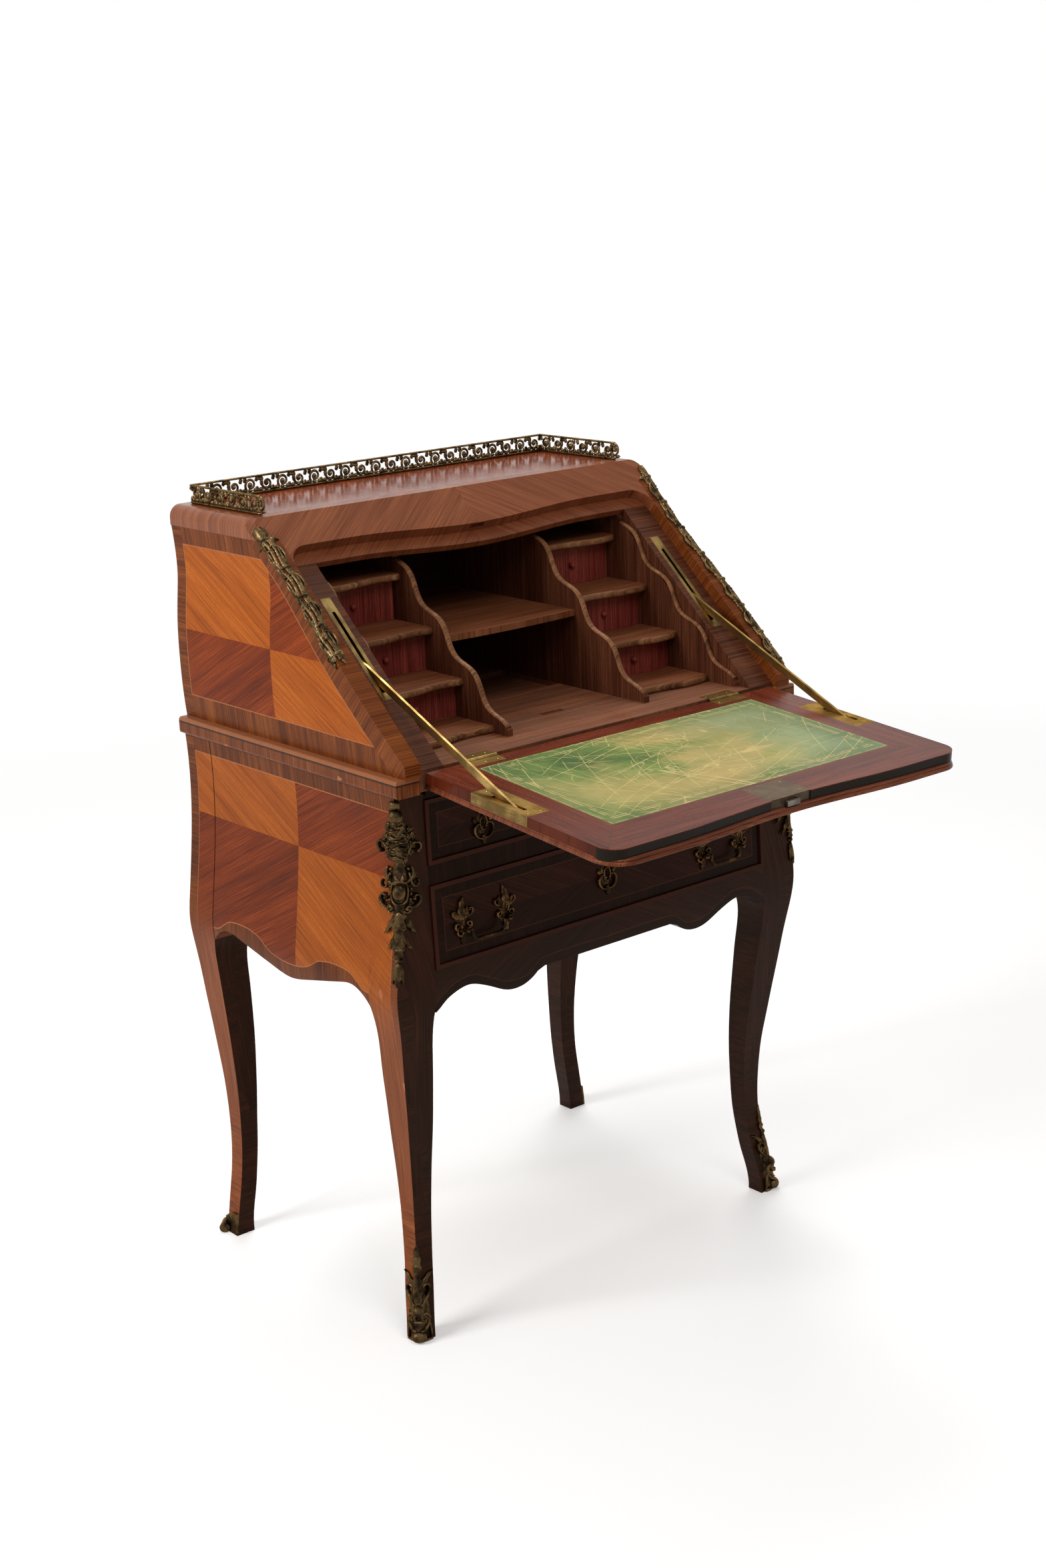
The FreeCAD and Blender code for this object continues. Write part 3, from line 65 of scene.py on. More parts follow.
class Signal:
    """One output of a node. Arithmetic on it adds Math nodes to its finish."""

    def __init__(self, finish, socket):
        """Keep the finish that the output belongs to."""
        self.finish = finish
        self.socket = socket

    def math(self, operation, *others):
        """A Math node of one operation on this signal and up to two more."""
        return self.finish.node("ShaderNodeMath", {"operation": operation}, [self, *others])

    def __add__(self, other):
        """Signal plus signal or number."""
        return self.math("ADD", other)

    def __sub__(self, other):
        """Signal minus signal or number."""
        return self.math("SUBTRACT", other)

    def __mul__(self, other):
        """Signal times signal or number."""
        return self.math("MULTIPLY", other)

    def __truediv__(self, other):
        """Signal over signal or number."""
        return self.math("DIVIDE", other)

    def __rsub__(self, other):
        """Number minus signal."""
        return self.math("MULTIPLY", -1.0).math("ADD", other)

    def __neg__(self):
        """Signal with its sign turned."""
        return self.math("MULTIPLY", -1.0)

    def __abs__(self):
        """Signal without its sign."""
        return self.math("ABSOLUTE")

    __radd__ = __add__
    __rmul__ = __mul__

    def above(self, level, soft=0.0):
        """1 where the signal is over the level, 0 where it is under, with a soft edge."""
        if soft == 0.0:
            return self.math("GREATER_THAN", level)
        return self.finish.node("ShaderNodeMapRange", {"interpolation_type": "SMOOTHSTEP"},
                                [self, level - soft, level + soft, 0.0, 1.0])

    def below(self, level, soft=0.0):
        """1 where the signal is under the level."""
        return 1.0 - self.above(level, soft)

    def least(self, other):
        """The smaller of two."""
        return self.math("MINIMUM", other)

    def most(self, other):
        """The larger of two."""
        return self.math("MAXIMUM", other)

    def towards(self, other, share):
        """This number where share is 0, the other where it is 1."""
        return self + (other - self) * share


class Finish:
    """One material with a Principled shader, and one method that adds any node."""

    def __init__(self, name, roughness=0.4, metallic=0.0, specular=0.14):
        """Make the material, with the constants of its shader set on the sockets."""
        self.material = bpy.data.materials.new(name)
        self.material.use_nodes = True
        self.tree = self.material.node_tree
        self.tree.nodes.clear()
        self.axes = None
        self.shader = self.tree.nodes.new("ShaderNodeBsdfPrincipled")
        output = self.tree.nodes.new("ShaderNodeOutputMaterial")
        self.tree.links.new(self.shader.outputs[0], output.inputs["Surface"])
        self.shader.inputs["Roughness"].default_value = roughness
        self.shader.inputs["Metallic"].default_value = metallic
        self.shader.inputs["Specular IOR Level"].default_value = specular
        self.shader.inputs["Specular Tint"].default_value = (*SHEEN, 1.0)

    def node(self, kind, settings=None, sockets=(), output=0):
        """Add a node: its settings first, then the values or links of its sockets.

        The setting stops is a colour ramp's row, points a curve's."""
        made = self.tree.nodes.new(kind)
        for key, value in (settings or {}).items():
            if key == "stops":
                ramp = made.color_ramp
                while len(ramp.elements) < len(value):
                    ramp.elements.new(1.0)
                for element, (place, colour) in zip(ramp.elements, value):
                    element.position = place
                    element.color = (*colour, 1.0)
            elif key == "points":
                curve = made.mapping.curves[0]
                while len(curve.points) < len(value):
                    curve.points.new(1.0, 1.0)
                for point, (x, y) in zip(curve.points, value):
                    point.location = (x, y)
                made.mapping.update()
            else:
                setattr(made, key, value)
        pairs = sockets.items() if isinstance(sockets, dict) else enumerate(sockets)
        for key, value in pairs:
            if isinstance(value, Signal):
                self.tree.links.new(value.socket, made.inputs[key])
            elif value is not None:
                made.inputs[key].default_value = value
        return Signal(self, made.outputs[output])

    def place(self):
        """The point's X, Y and Z on the desk, in metres."""
        if self.axes is None:
            point = self.node("ShaderNodeTexCoord", output=3)
            split = self.node("ShaderNodeSeparateXYZ", None, [point]).socket.node
            self.axes = [Signal(self, split.outputs[i]) for i in range(3)]
        return self.axes

    def noise(self, x, y, z=0.0, detail=2.0, distortion=0.0, rough=0.5):
        """Soft random value round 0.5 from three numbers, one unit of which is one lump."""
        point = self.node("ShaderNodeCombineXYZ", None, [x, y, z])
        return self.node("ShaderNodeTexNoise", None,
                         {"Vector": point, "Scale": 1.0, "Detail": detail, "Roughness": rough,
                          "Distortion": distortion})

    def ramp(self, value, stops):
        """Colour that a value picks from a row of stops."""
        return self.node("ShaderNodeValToRGB", {"stops": stops}, [value])

    def curve(self, value, points):
        """Number that a value picks from a smooth curve through the points."""
        return self.node("ShaderNodeFloatCurve", {"points": points}, [1.0, value])

    def mix(self, share, first, second):
        """Colour between two colours: the first where share is 0, the second where it is 1."""
        paint = [c if isinstance(c, Signal) else (*c, 1.0) for c in (first, second)]
        return self.node("ShaderNodeMix", {"data_type": "RGBA"},
                         {0: share, 6: paint[0], 7: paint[1]}, output=2)

    def feed(self, **sockets):
        """Link signals to the shader: its colour, roughness or glow."""
        names = {"colour": "Base Color", "roughness": "Roughness", "glow": "Emission Color"}
        for key, signal in sockets.items():
            self.tree.links.new(signal.socket, self.shader.inputs[names[key]])

    def relief(self, height, depth, strength):
        """Bump from a height signal; depth is the height of 1 in metres."""
        bump = self.node("ShaderNodeBump", None,
                         {"Strength": strength, "Distance": depth, "Height": height})
        self.tree.links.new(bump.socket, self.shader.inputs["Normal"])


def joined(shares):
    """The largest of some shares."""
    return functools.reduce(Signal.most, shares)


print("signals ready")

# %% [markdown]
# Rosewood and tulipwood veneer is banded: broad dark and light stripes along the grain, fine
# fibres inside them, and short open pores. All three are the same kind of noise, stretched along
# the grain by different amounts. Only the direction of the grain changes from panel to panel, so
# one function paints wood from two numbers: the distance along the grain and the one across it.

# %% Wood from grain coordinates
# Each wood has a dark, a middle and a light colour.
GOLDEN = ((0.190, 0.038, 0.004), (0.39, 0.088, 0.008), (0.55, 0.152, 0.018))
RUSSET = ((0.070, 0.010, 0.002), (0.190, 0.028, 0.004), (0.31, 0.057, 0.008))
CROSSBAND = ((0.042, 0.009, 0.002), (0.145, 0.034, 0.007), (0.29, 0.083, 0.018))
ROSY = ((0.105, 0.026, 0.010), (0.220, 0.062, 0.024), (0.33, 0.110, 0.046))
# The next two colours are near-black painted shade, for the front in the fall's shade and for the
# inner back.
PLUM_SHADE = ((0.006, 0.002, 0.0012), (0.018, 0.005, 0.003), (0.038, 0.011, 0.007))
DUSKY_SHADE = ((0.004, 0.0013, 0.001), (0.011, 0.003, 0.002), (0.024, 0.007, 0.0045))
LEGWOOD = ((0.085, 0.018, 0.004), (0.200, 0.047, 0.010), (0.32, 0.090, 0.021))
# The next colour is the leg wood darkened about eightfold: painted shade for a leg's front, inner
# and back faces.
LEG_SHADE = ((0.008, 0.0022, 0.0014), (0.026, 0.007, 0.0035), (0.058, 0.016, 0.008))
GLOOM = ((0.026, 0.007, 0.004), (0.084, 0.024, 0.011), (0.165, 0.056, 0.026))
MAHOGANY = ((0.042, 0.006, 0.002), (0.125, 0.020, 0.007), (0.225, 0.047, 0.016))
SHADY = ((0.050, 0.013, 0.005), (0.155, 0.047, 0.018), (0.29, 0.106, 0.046))
CRIMSON = ((0.045, 0.006, 0.005), (0.165, 0.024, 0.018), (0.31, 0.062, 0.042))
OAK = ((0.13, 0.070, 0.032), (0.25, 0.148, 0.070), (0.36, 0.225, 0.112))
BLACKENED = (0.012, 0.009, 0.008)
DUST = (0.115, 0.062, 0.044)
STRINGING = (0.40, 0.145, 0.055)
WORN = ((0.075, 0.026, 0.011), (0.20, 0.080, 0.034), (0.34, 0.16, 0.075))
# The next colour is a near-black rosewood: painted shade on the drawer fronts and their beads.
ROSY_SHADE = ((0.008, 0.0025, 0.002), (0.024, 0.006, 0.004), (0.050, 0.014, 0.009))
LIPWOOD = ((0.055, 0.012, 0.005), (0.160, 0.040, 0.017), (0.28, 0.085, 0.040))
SALMON = (0.40, 0.155, 0.070)
FIGURE_LENGTH, FIGURE_WIDTH = 0.30, 0.012
FIBRE_LENGTH, FIBRE_WIDTH = 0.09, 0.0011
CLOUD_LENGTH, CLOUD_WIDTH = 0.24, 0.060
PORE_LENGTH, PORE_WIDTH = 0.006, 0.00035
CLOUD_SHARE = 0.38
PORE_LEVEL = 0.60
PORE_DEPTH = 0.00006


def toned(palette, share):
    """The same three colours, each times a share."""
    return tuple(tuple(value * share for value in colour) for colour in palette)


def timber(finish, along, across, seed, figure=1.0):
    """Three shares for wood: broad figure, fine fibre and open pores.

    Figure is noise of (along / length, across / width), and a third of it is a slow cloud that
    darkens whole hands' breadths. Fibre is the same noise with a width of about a millimetre.
    Pores are thin dashes where a still finer noise passes a level."""
    cloud = finish.noise(along / CLOUD_LENGTH, across / CLOUD_WIDTH, seed + 11.0)
    broad = finish.noise(along / (FIGURE_LENGTH * figure), across / (FIGURE_WIDTH * figure), seed,
                         detail=3.0, distortion=0.7, rough=0.6)
    fibre = finish.noise(along / FIBRE_LENGTH, across / FIBRE_WIDTH, seed + 3.0, distortion=0.2)
    pores = finish.noise(along / PORE_LENGTH, across / PORE_WIDTH, seed + 7.0, detail=1.0)
    return broad * (1.0 - CLOUD_SHARE) + cloud * CLOUD_SHARE, fibre, pores.above(PORE_LEVEL, 0.03)


def stain(finish, palette, broad, fibre, pores):
    """Colour of one wood: dark, middle and light by figure and fibre, with dark pores."""
    dark, middle, light = palette
    base = finish.ramp(broad * 0.50 + fibre * 0.50, [(0.36, dark), (0.50, middle), (0.64, light)])
    return finish.mix(pores * 0.45, base, dark)


def polish(finish, pores, base=0.30):
    """French polish: glossy film that sinks a little over the pores, with some wear."""
    wear = finish.noise(*[axis * 9.0 for axis in finish.place()], detail=3.0)
    finish.feed(roughness=wear * 0.22 + pores * 0.12 + (base - 0.11))
    finish.relief(1.0 - pores, PORE_DEPTH, 0.35)


def plain_wood(name, palette, along, across, seed, rough=0.32, figure=1.0, specular=0.14):
    """Finish of one plain wood whose grain runs along one axis of the desk."""
    finish = Finish(name, specular=specular)
    axes = finish.place()
    drift = axes[3 - along - across] * 6.0 + seed
    broad, fibre, pores = timber(finish, axes[along], axes[across], drift, figure)
    finish.feed(colour=stain(finish, palette, broad, fibre, pores))
    polish(finish, pores, rough)
    return finish


# %% [markdown]
# The sides are quarter-veneered: four leaves of one log meet on a cross, with the grain running
# to the middle from each corner. A wide crossband frames them, and a light string runs between.

# %% Quartered side panels
BAND = 0.021
STRING = 0.0013
SIDE_SPECULAR = 0.09
LEAF_ANGLE = math.radians(28.0)
FRONT_STRING, BACK_STRING = -0.052, 0.360
LOWER_SEAM = (0.139, 0.590)
UPPER_SEAM = (0.173, 0.825)
LOWER_TOP = 0.690
APRON_START, APRON_SPAN = 0.066, 0.444
APRON_FOOT, APRON_RISE = 0.4225, 0.027
# A point of an apron's curve is (share of its span, share of its rise).
SIDE_APRON_SHARES = [(0.0, 0.30), (0.126, 0.30), (0.18, 0.62), (0.26, 0.97), (0.34, 0.85),
                     (0.5, 0.10), (0.66, 0.85), (0.74, 0.97), (0.82, 0.62), (0.874, 0.30),
                     (1.0, 0.30)]
SLOPE = math.radians(41.9)
HINGE_Y, HINGE_Z = -0.0717, 0.7135
SLOPE_FACE = 0.0145
SLOPE_BAND = 0.026
UPPER_BASE, UPPER_TOP, UPPER_BACK = 0.711, 0.952, 0.378
APRON_MARGIN, BACK_MARGIN, BASE_MARGIN, TOP_MARGIN = 0.016, 0.020, 0.030, 0.022


def quartered(level, upright, seam):
    """Grain along and across, which leaf is bright and its number, for four leaves on a seam."""
    run = level - seam[0]
    rise = upright - seam[1]
    along = abs(run) * math.cos(LEAF_ANGLE) + abs(rise) * math.sin(LEAF_ANGLE)
    across = abs(rise) * math.cos(LEAF_ANGLE) - abs(run) * math.sin(LEAF_ANGLE)
    bright = (run * rise).above(0.0)
    leaf = bright * 2.0 + rise.above(0.0) + run.above(0.0) * 5.0
    return along, across, bright, leaf


def panel_finish(name, run_axis, seam, edge_of, band_along, woods, string_share=0.8):
    """Veneered panel: four leaves inside, crossband outside.

    edge_of gives the distance inside the string, band_along the grain of the crossband. The
    woods are those of the bright leaves, the dark leaves and the band."""
    finish = Finish(name, specular=SIDE_SPECULAR)
    colour, pores = panel_paint(finish, run_axis, seam, edge_of, band_along, woods, string_share)
    finish.feed(colour=colour)
    polish(finish, pores)
    return finish


def panel_paint(finish, run_axis, seam, edge_of, band_along, woods, string_share):
    """Colour and pores of a panel, also for a finish that shows it on some faces only."""
    axes = finish.place()
    run, z = axes[run_axis], axes[2]
    along, across, bright, leaf = quartered(run, z, seam)
    edge = edge_of(finish, run, z)
    inside = edge.above(0.0)
    ripple = finish.noise(run * 30.0, z * 30.0, 2.0) * 0.02
    band_a, band_c = band_along(finish, run, z)
    drift = leaf * inside + axes[1 - run_axis].above(0.0) * 3.0
    broad, fibre, pores = timber(finish, (band_a + ripple).towards(along, inside),
                                 band_c.towards(across, inside), drift)
    golden, russet, band = [stain(finish, wood, broad, fibre, pores) for wood in woods]
    colour = finish.mix(inside, band, finish.mix(bright, russet, golden))
    string = abs(edge).below(STRING / 2.0, 0.0002)
    return finish.mix(string * string_share, colour, STRINGING), pores


def span(value, low, high):
    """Distance inside a span, from its nearer end."""
    return (value - low).least(high - value)


def lower_edge(finish, y, z):
    """Metres inside the lower side's string, which follows the apron's curve."""
    apron = finish.curve((y + APRON_START) / APRON_SPAN, SIDE_APRON_SHARES)
    bottom = z - (apron * APRON_RISE + APRON_FOOT + APRON_MARGIN)
    return span(y, FRONT_STRING, BACK_STRING).least(LOWER_TOP - BAND - z).least(bottom)


def lower_band(finish, y, z):
    """Crossband grain: up and down on the top and bottom bands, level on the ends."""
    ends = span(y, FRONT_STRING, BACK_STRING).below(0.0)
    return z.towards(y, ends), y.towards(z, ends)


def leg_edge(finish, y, z):
    """Metres inside the string on a leg's flank, where the panel runs on down the leg."""
    return span(y, FRONT_STRING, BACK_STRING).least(LOWER_TOP - BAND - z)


def slope_depth(y, z):
    """Metres behind the sloping front."""
    return (y - HINGE_Y) * math.sin(SLOPE) - (z - HINGE_Z) * math.cos(SLOPE) + SLOPE_FACE


def upper_edge(finish, y, z):
    """Metres inside the upper side's string: back, foot, top and the slope."""
    upright = (UPPER_BACK - BACK_MARGIN - y).least(z - UPPER_BASE - BASE_MARGIN)
    return upright.least(UPPER_TOP - TOP_MARGIN - z).least(slope_depth(y, z) - SLOPE_BAND)


def upper_band(finish, y, z):
    """Crossband grain of the upper side: square to the slope, up and down elsewhere."""
    slope = slope_depth(y, z)
    on_slope = slope.below(SLOPE_BAND)
    run = y * math.cos(SLOPE) + z * math.sin(SLOPE)
    back = (UPPER_BACK - BACK_MARGIN - y).below(0.0)
    along = z.towards(y, back).towards(slope, on_slope)
    across = y.towards(z, back).towards(run, on_slope)
    return along, across


SIDE_WOODS = (GOLDEN, RUSSET, CROSSBAND)
# The lower side and the panel on each leg's flank take the side woods at 0.84 of their colour: a
# painted shade for the lower case.
LOWER_SHADED_WOODS = [toned(wood, 0.84) for wood in SIDE_WOODS]
lower_side = panel_finish("lower side veneer", 1, LOWER_SEAM, lower_edge, lower_band, LOWER_SHADED_WOODS)
upper_side = panel_finish("upper side veneer", 1, UPPER_SEAM, upper_edge, upper_band, SIDE_WOODS)
print("side veneers ready")

# %% [markdown]
# The front has the same scheme on a small scale, in near-black colours that are painted shade,
# as the front stands in the fall's shade. Each drawer is one quartered panel in its bead. The
# apron is two leaves that meet in the middle over a border.

# %% Drawer fronts and apron
# All of the front's woods are painted shade.
FRONT_SHADE_WOODS = (PLUM_SHADE, ROSY_SHADE, DUSKY_SHADE)
FRONT_SPECULAR = 0.06
DRAWER_BAND = 0.018
APRON_BAND = 0.011
BEAD = 0.0052
APRON_HALF = 0.269
FRONT_APRON_FOOT, FRONT_APRON_RISE = 0.419, 0.0245
FRONT_APRON_SHARES = [(0.0, 0.72), (0.385, 0.72), (0.43, 0.52), (0.46, 0.27), (0.546, 0.0),
                      (0.60, 0.08), (0.679, 0.45), (0.752, 0.81), (0.815, 1.0), (0.882, 0.89),
                      (0.948, 0.55), (1.0, 0.10)]


def drawer_finish(node):
    """Quartered panel in a bead, all in painted-shade colours; its middle and edges come from the
    drawer's box.
    """
    low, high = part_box(node)
    left, right = low.x + DRAWER_BAND, high.x - DRAWER_BAND

    def edge_of(finish, x, z):
        """Metres inside the string of the drawer."""
        return span(x, left, right).least(span(z, low.z + DRAWER_BAND, high.z - DRAWER_BAND))

    def band_along(finish, x, z):
        """Crossband grain: up and down over and under the panel, level at its ends."""
        ends = span(x, left, right).below(0.0)
        return z.towards(x, ends), x.towards(z, ends)

    middle = ((low.x + high.x) / 2.0, (low.z + high.z) / 2.0)
    finish = Finish(node + " veneer", specular=FRONT_SPECULAR)
    paint, pores = panel_paint(finish, 0, middle, edge_of, band_along, FRONT_SHADE_WOODS, 0.10)
    x, _, z = finish.place()
    bead = edge_of(finish, x, z).below(BEAD - DRAWER_BAND, 0.0002)
    # The bead takes the lightest colour of the near-black rosewood, so it is painted shade as well.
    finish.feed(colour=finish.mix(bead, paint, ROSY_SHADE[2]))
    polish(finish, pores)
    return finish


def apron_edge(finish, x, z):
    """Metres over the dark border that follows the apron's lower edge."""
    rise = finish.curve(abs(x) / APRON_HALF, FRONT_APRON_SHARES)
    return z - (FRONT_APRON_FOOT + rise * FRONT_APRON_RISE + APRON_BAND)


def apron_band(finish, x, z):
    """Border grain: level, along the edge."""
    return x, z


short_left_wood = drawer_finish("short_drawer_left_front")
short_right_wood = drawer_finish("short_drawer_right_front")
false_wood = drawer_finish("false_front")
long_wood = drawer_finish("long_drawer_front")
apron_wood = panel_finish("apron veneer", 0, (0.0, 0.60), apron_edge, apron_band, FRONT_SHADE_WOODS,
                          0.10)
# The front's rails and dividers are painted near-black as well, a painted shade.
front_wood = plain_wood("front crossband", DUSKY_SHADE, 2, 0, 2.0, specular=FRONT_SPECULAR)
print("front veneers ready")

# %% [markdown]
# The legs are veneered along their length, with a crossbanded stretch near each foot and low on
# their inner faces. Their front, inner and back faces are painted in a far darker copy of the leg
# wood, a painted shade. The slope rail has a chevron that meets in its middle. The fall has a
# mitred border of mahogany round the leather, a black front edge, and a quartered outside that
# shows when it is shut.

# %% Legs, slope rail, top and fall
CHEVRON = math.radians(38.0)
FOOT_BAND = 0.17
INNER_BAND = 0.46
ARCH_LEVEL = 0.50
# A chip is (Y, Z, reach).
CHIP_REACH = 0.006
CHIPS = ((-0.050, 0.335, 0.0030), (-0.056, 0.262, 0.0022), (-0.033, 0.452, 0.0020),
         (0.318, 0.210, 0.0024))
DROOP = math.radians(5.0)
LEATHER_HALF = 0.2176
LEATHER_NEAR, LEATHER_FAR = 0.0265, 0.2525
FALL_DEPTH = 0.0145
FALL_MIDDLE = 0.155
FALL_CORNER_U = 0.290
FACE_SKIN = 0.0009
TOP_BAND_X = 0.286

leg_wood = Finish("leg veneer", specular=0.08)
x, y, z = leg_wood.place()
facing_axes = leg_wood.node("ShaderNodeTexCoord", output=1)
split = leg_wood.node("ShaderNodeSeparateXYZ", None, [facing_axes]).socket.node
sideways, ahead = [Signal(leg_wood, split.outputs[i]) for i in range(2)]
flank = (abs(sideways) - abs(ahead)).above(0.0) * (sideways * x).above(0.0)
inner = (sideways * x).below(-0.00001)
panel, _ = panel_paint(leg_wood, 1, LOWER_SEAM, leg_edge, lower_band, LOWER_SHADED_WOODS, 0.6)
run = x + y + z * 0.22
banded = z.below(FOOT_BAND, 0.003).most(inner * z.below(INNER_BAND))
leg_seed = x.above(0.0) * 4.0 + y.above(0.1) + flank * 2.0
broad, fibre, pores = timber(leg_wood, z.towards(run * 3.0, banded), run.towards(z, banded),
                             leg_seed, 0.9)
# The outer flanks show the leg wood; the front, inner and back faces get its far darker copy, a
# painted shade.
bare_with_shade = leg_wood.mix(flank, stain(leg_wood, LEG_SHADE, broad, fibre, pores),
                    stain(leg_wood, LEGWOOD, broad, fibre, pores))
over_arch = (z + broad * 0.10).above(ARCH_LEVEL, 0.07) * flank
worn = leg_wood.noise(y * 70.0, z * 26.0, x * 3.0, detail=3.0)
holes = []
for chip_y, chip_z, reach in CHIPS:
    away = ((y - chip_y) * (y - chip_y) + (z - chip_z) * (z - chip_z) * 0.2).math("SQRT")
    holes.append((away + worn * 0.012).below(reach + CHIP_REACH, 0.0006))
chip = joined(holes)
paint = leg_wood.mix(over_arch, bare_with_shade, panel)
leg_wood.feed(colour=leg_wood.mix(chip * flank * x.below(0.0) * 0.7, paint, SALMON))
polish(leg_wood, pores)

rail_wood = Finish("slope rail veneer")
x, y, z = rail_wood.place()
run = (y * 0.75 + z * 0.65) * -1.0
broad, fibre, pores = timber(rail_wood, abs(x) * math.cos(CHEVRON) + run * math.sin(CHEVRON),
                             run * math.cos(CHEVRON) - abs(x) * math.sin(CHEVRON),
                             x.above(0.0) * 2.0)
rail_wood.feed(colour=stain(rail_wood, ROSY, broad, fibre, pores))
polish(rail_wood, pores, 0.26)

top_wood = Finish("top veneer", specular=0.26)
x, y, _ = top_wood.place()
ends = abs(x).above(TOP_BAND_X, 0.0004)
broad, fibre, pores = timber(top_wood, y.towards(x, ends), x.towards(y, ends), ends * 3.0)
panel = stain(top_wood, RUSSET, broad, fibre, pores)
top_wood.feed(colour=top_wood.mix(ends, panel, stain(top_wood, ROSY, broad, fibre, pores)))
polish(top_wood, pores, 0.16)


def fall_axes(finish):
    """Across, reach from the hinge and height over the writing face, in metres."""
    x, y, z = finish.place()
    ahead, rise = y - HINGE_Y, z - HINGE_Z
    reach = ahead * -math.cos(DROOP) - rise * math.sin(DROOP)
    over = rise * math.cos(DROOP) - ahead * math.sin(DROOP)
    return x, reach, over


fall_wood = Finish("fall veneer", specular=0.10)
x, reach, over = fall_axes(fall_wood)
beside = abs(x) - LEATHER_HALF
beyond = abs(reach - (LEATHER_NEAR + LEATHER_FAR) / 2.0) - (LEATHER_FAR - LEATHER_NEAR) / 2.0
side_strip = (beside - beyond).above(0.0)
outside = over.below(0.0005 - FALL_DEPTH)
run, rise = abs(x), abs(reach - FALL_MIDDLE)
diagonal = run * math.cos(CHEVRON) + rise * math.sin(CHEVRON)
square = rise * math.cos(CHEVRON) - run * math.sin(CHEVRON)
along = x.towards(reach, side_strip).towards(diagonal, outside)
across = reach.towards(x, side_strip).towards(square, outside)
broad, fibre, pores = timber(fall_wood, along, across, side_strip * 3.0 + x.above(0.0) * 2.0, 0.8)
border = stain(fall_wood, MAHOGANY, broad, fibre, pores)
edge = over.below(-FACE_SKIN, 0.0002) * reach.above(FALL_CORNER_U, 0.0004)
inner = fall_wood.mix(edge, border, BLACKENED)
mitre = abs(beside - beyond).below(0.0004, 0.0002) * beside.above(0.0) * over.above(-FACE_SKIN)
inner = fall_wood.mix(mitre * 0.7, inner, BLACKENED)
fall_wood.feed(colour=fall_wood.mix(outside, inner, stain(fall_wood, ROSY, broad, fibre, pores)))
polish(fall_wood, pores, 0.20)
print("legs, rail, top and fall ready")

# %% [markdown]
# The other woods are plain: each has its own colour and grain direction. The inner back's
# near-black colour is painted shade.

# %% Plain woods
lip_wood = plain_wood("lip moulding", LIPWOOD, 0, 1, 6.0, 0.22)
inner_wood = plain_wood("inner wood", SHADY, 0, 1, 7.0, 0.45)
upright_wood = plain_wood("partition wood", GLOOM, 2, 1, 8.0, 0.40)
# The inner back is painted near-black: painted shade at the back of the recess.
back_wood = plain_wood("inner back wood", PLUM_SHADE, 0, 2, 8.5, 0.60, 1.0, 0.1)
drawer_red = plain_wood("small drawer veneer", CRIMSON, 2, 0, 9.0, 0.40, 0.35)
box_wood = plain_wood("drawer oak", OAK, 1, 0, 10.0, 0.60)

# The ledge is crossbanded, with a pale strip along its top over a dark line.
STRIP_Z, STRIP_LINE_Z = 0.7065, 0.7055
ledge_wood = Finish("ledge moulding wood")
x, y, z = ledge_wood.place()
broad, fibre, pores = timber(ledge_wood, z, x + y, 11.0)
strip = z.above(STRIP_Z, 0.0003)
dark_line = abs(z - STRIP_LINE_Z).below(0.0012, 0.0004)
paint = ledge_wood.mix(strip * 0.55, stain(ledge_wood, CROSSBAND, broad, fibre, pores), SALMON)
paint = ledge_wood.mix(dark_line * 0.8, paint, BLACKENED)
chips = ledge_wood.noise(y * 38.0, z * 90.0, x.above(0.0) * 7.0 + 2.0, detail=3.0)
ledge_wood.feed(colour=ledge_wood.mix(chips.above(0.70, 0.008) * 0.8, paint, SALMON))
polish(ledge_wood, pores)

# Dust lies on the level boards inside: a thin brown film in patches.
dusty_wood = Finish("dusty board wood")
x, y, z = dusty_wood.place()
broad, fibre, pores = timber(dusty_wood, x, y, z * 6.0)
film = dusty_wood.noise(x * 14.0, y * 14.0, z * 14.0, detail=4.0).above(0.46, 0.14)
paint = dusty_wood.mix(film * 0.30, stain(dusty_wood, SHADY, broad, fibre, pores), DUST)
dusty_wood.feed(colour=paint, roughness=film * 0.30 + 0.42)

# %% [markdown]
# The bronzes were gilt once. Now the gold shows on the high points, and the hollows are painted
# brown-black, for dirt together with painted shade. Worn brass, in contrast, is bright and
# scratched along its length.

# %% Metals
CURVED = 0.745


def bronze_finish(name, gold, dirt_and_shade):
    """Antique gilt bronze: gold where the curvature stands out, dark in the hollows for dirt and
    painted shade.
    """
    finish = Finish(name, roughness=0.42, metallic=0.85, specular=0.5)
    x, y, z = finish.place()
    point = finish.node("ShaderNodeNewGeometry", output=7)
    patch = finish.noise(x * 90.0, y * 90.0, z * 90.0, detail=3.0)
    share = (point + patch * 0.36).above(CURVED, 0.070)
    # Where the curvature is low the colour darkens: dirt, together with painted shade in the
    # hollows.
    finish.feed(colour=finish.mix(share, dirt_and_shade, gold), roughness=0.48 - share * 0.25)
    finish.relief(finish.noise(x * 420.0, y * 420.0, z * 420.0, detail=3.0), 0.0010, 0.6)
    return finish


def brass_finish(name, colour, dull, along=1, metallic=1.0):
    """Handled brass: tarnish in soft patches and fine scratches."""
    finish = Finish(name, roughness=0.30, metallic=metallic, specular=0.3)
    axes = finish.place()
    patch = finish.noise(*[axis * 45.0 for axis in axes], detail=3.0)
    scratch = finish.noise(axes[along] * 20.0, axes[along - 1] * 2500.0, axes[along - 2] * 2500.0)
    share = patch * 0.7 + scratch * 0.3
    paint = finish.mix(share.above(0.48, 0.12), colour, dull)
    finish.feed(colour=paint, roughness=share * 0.35 + 0.16)
    return finish


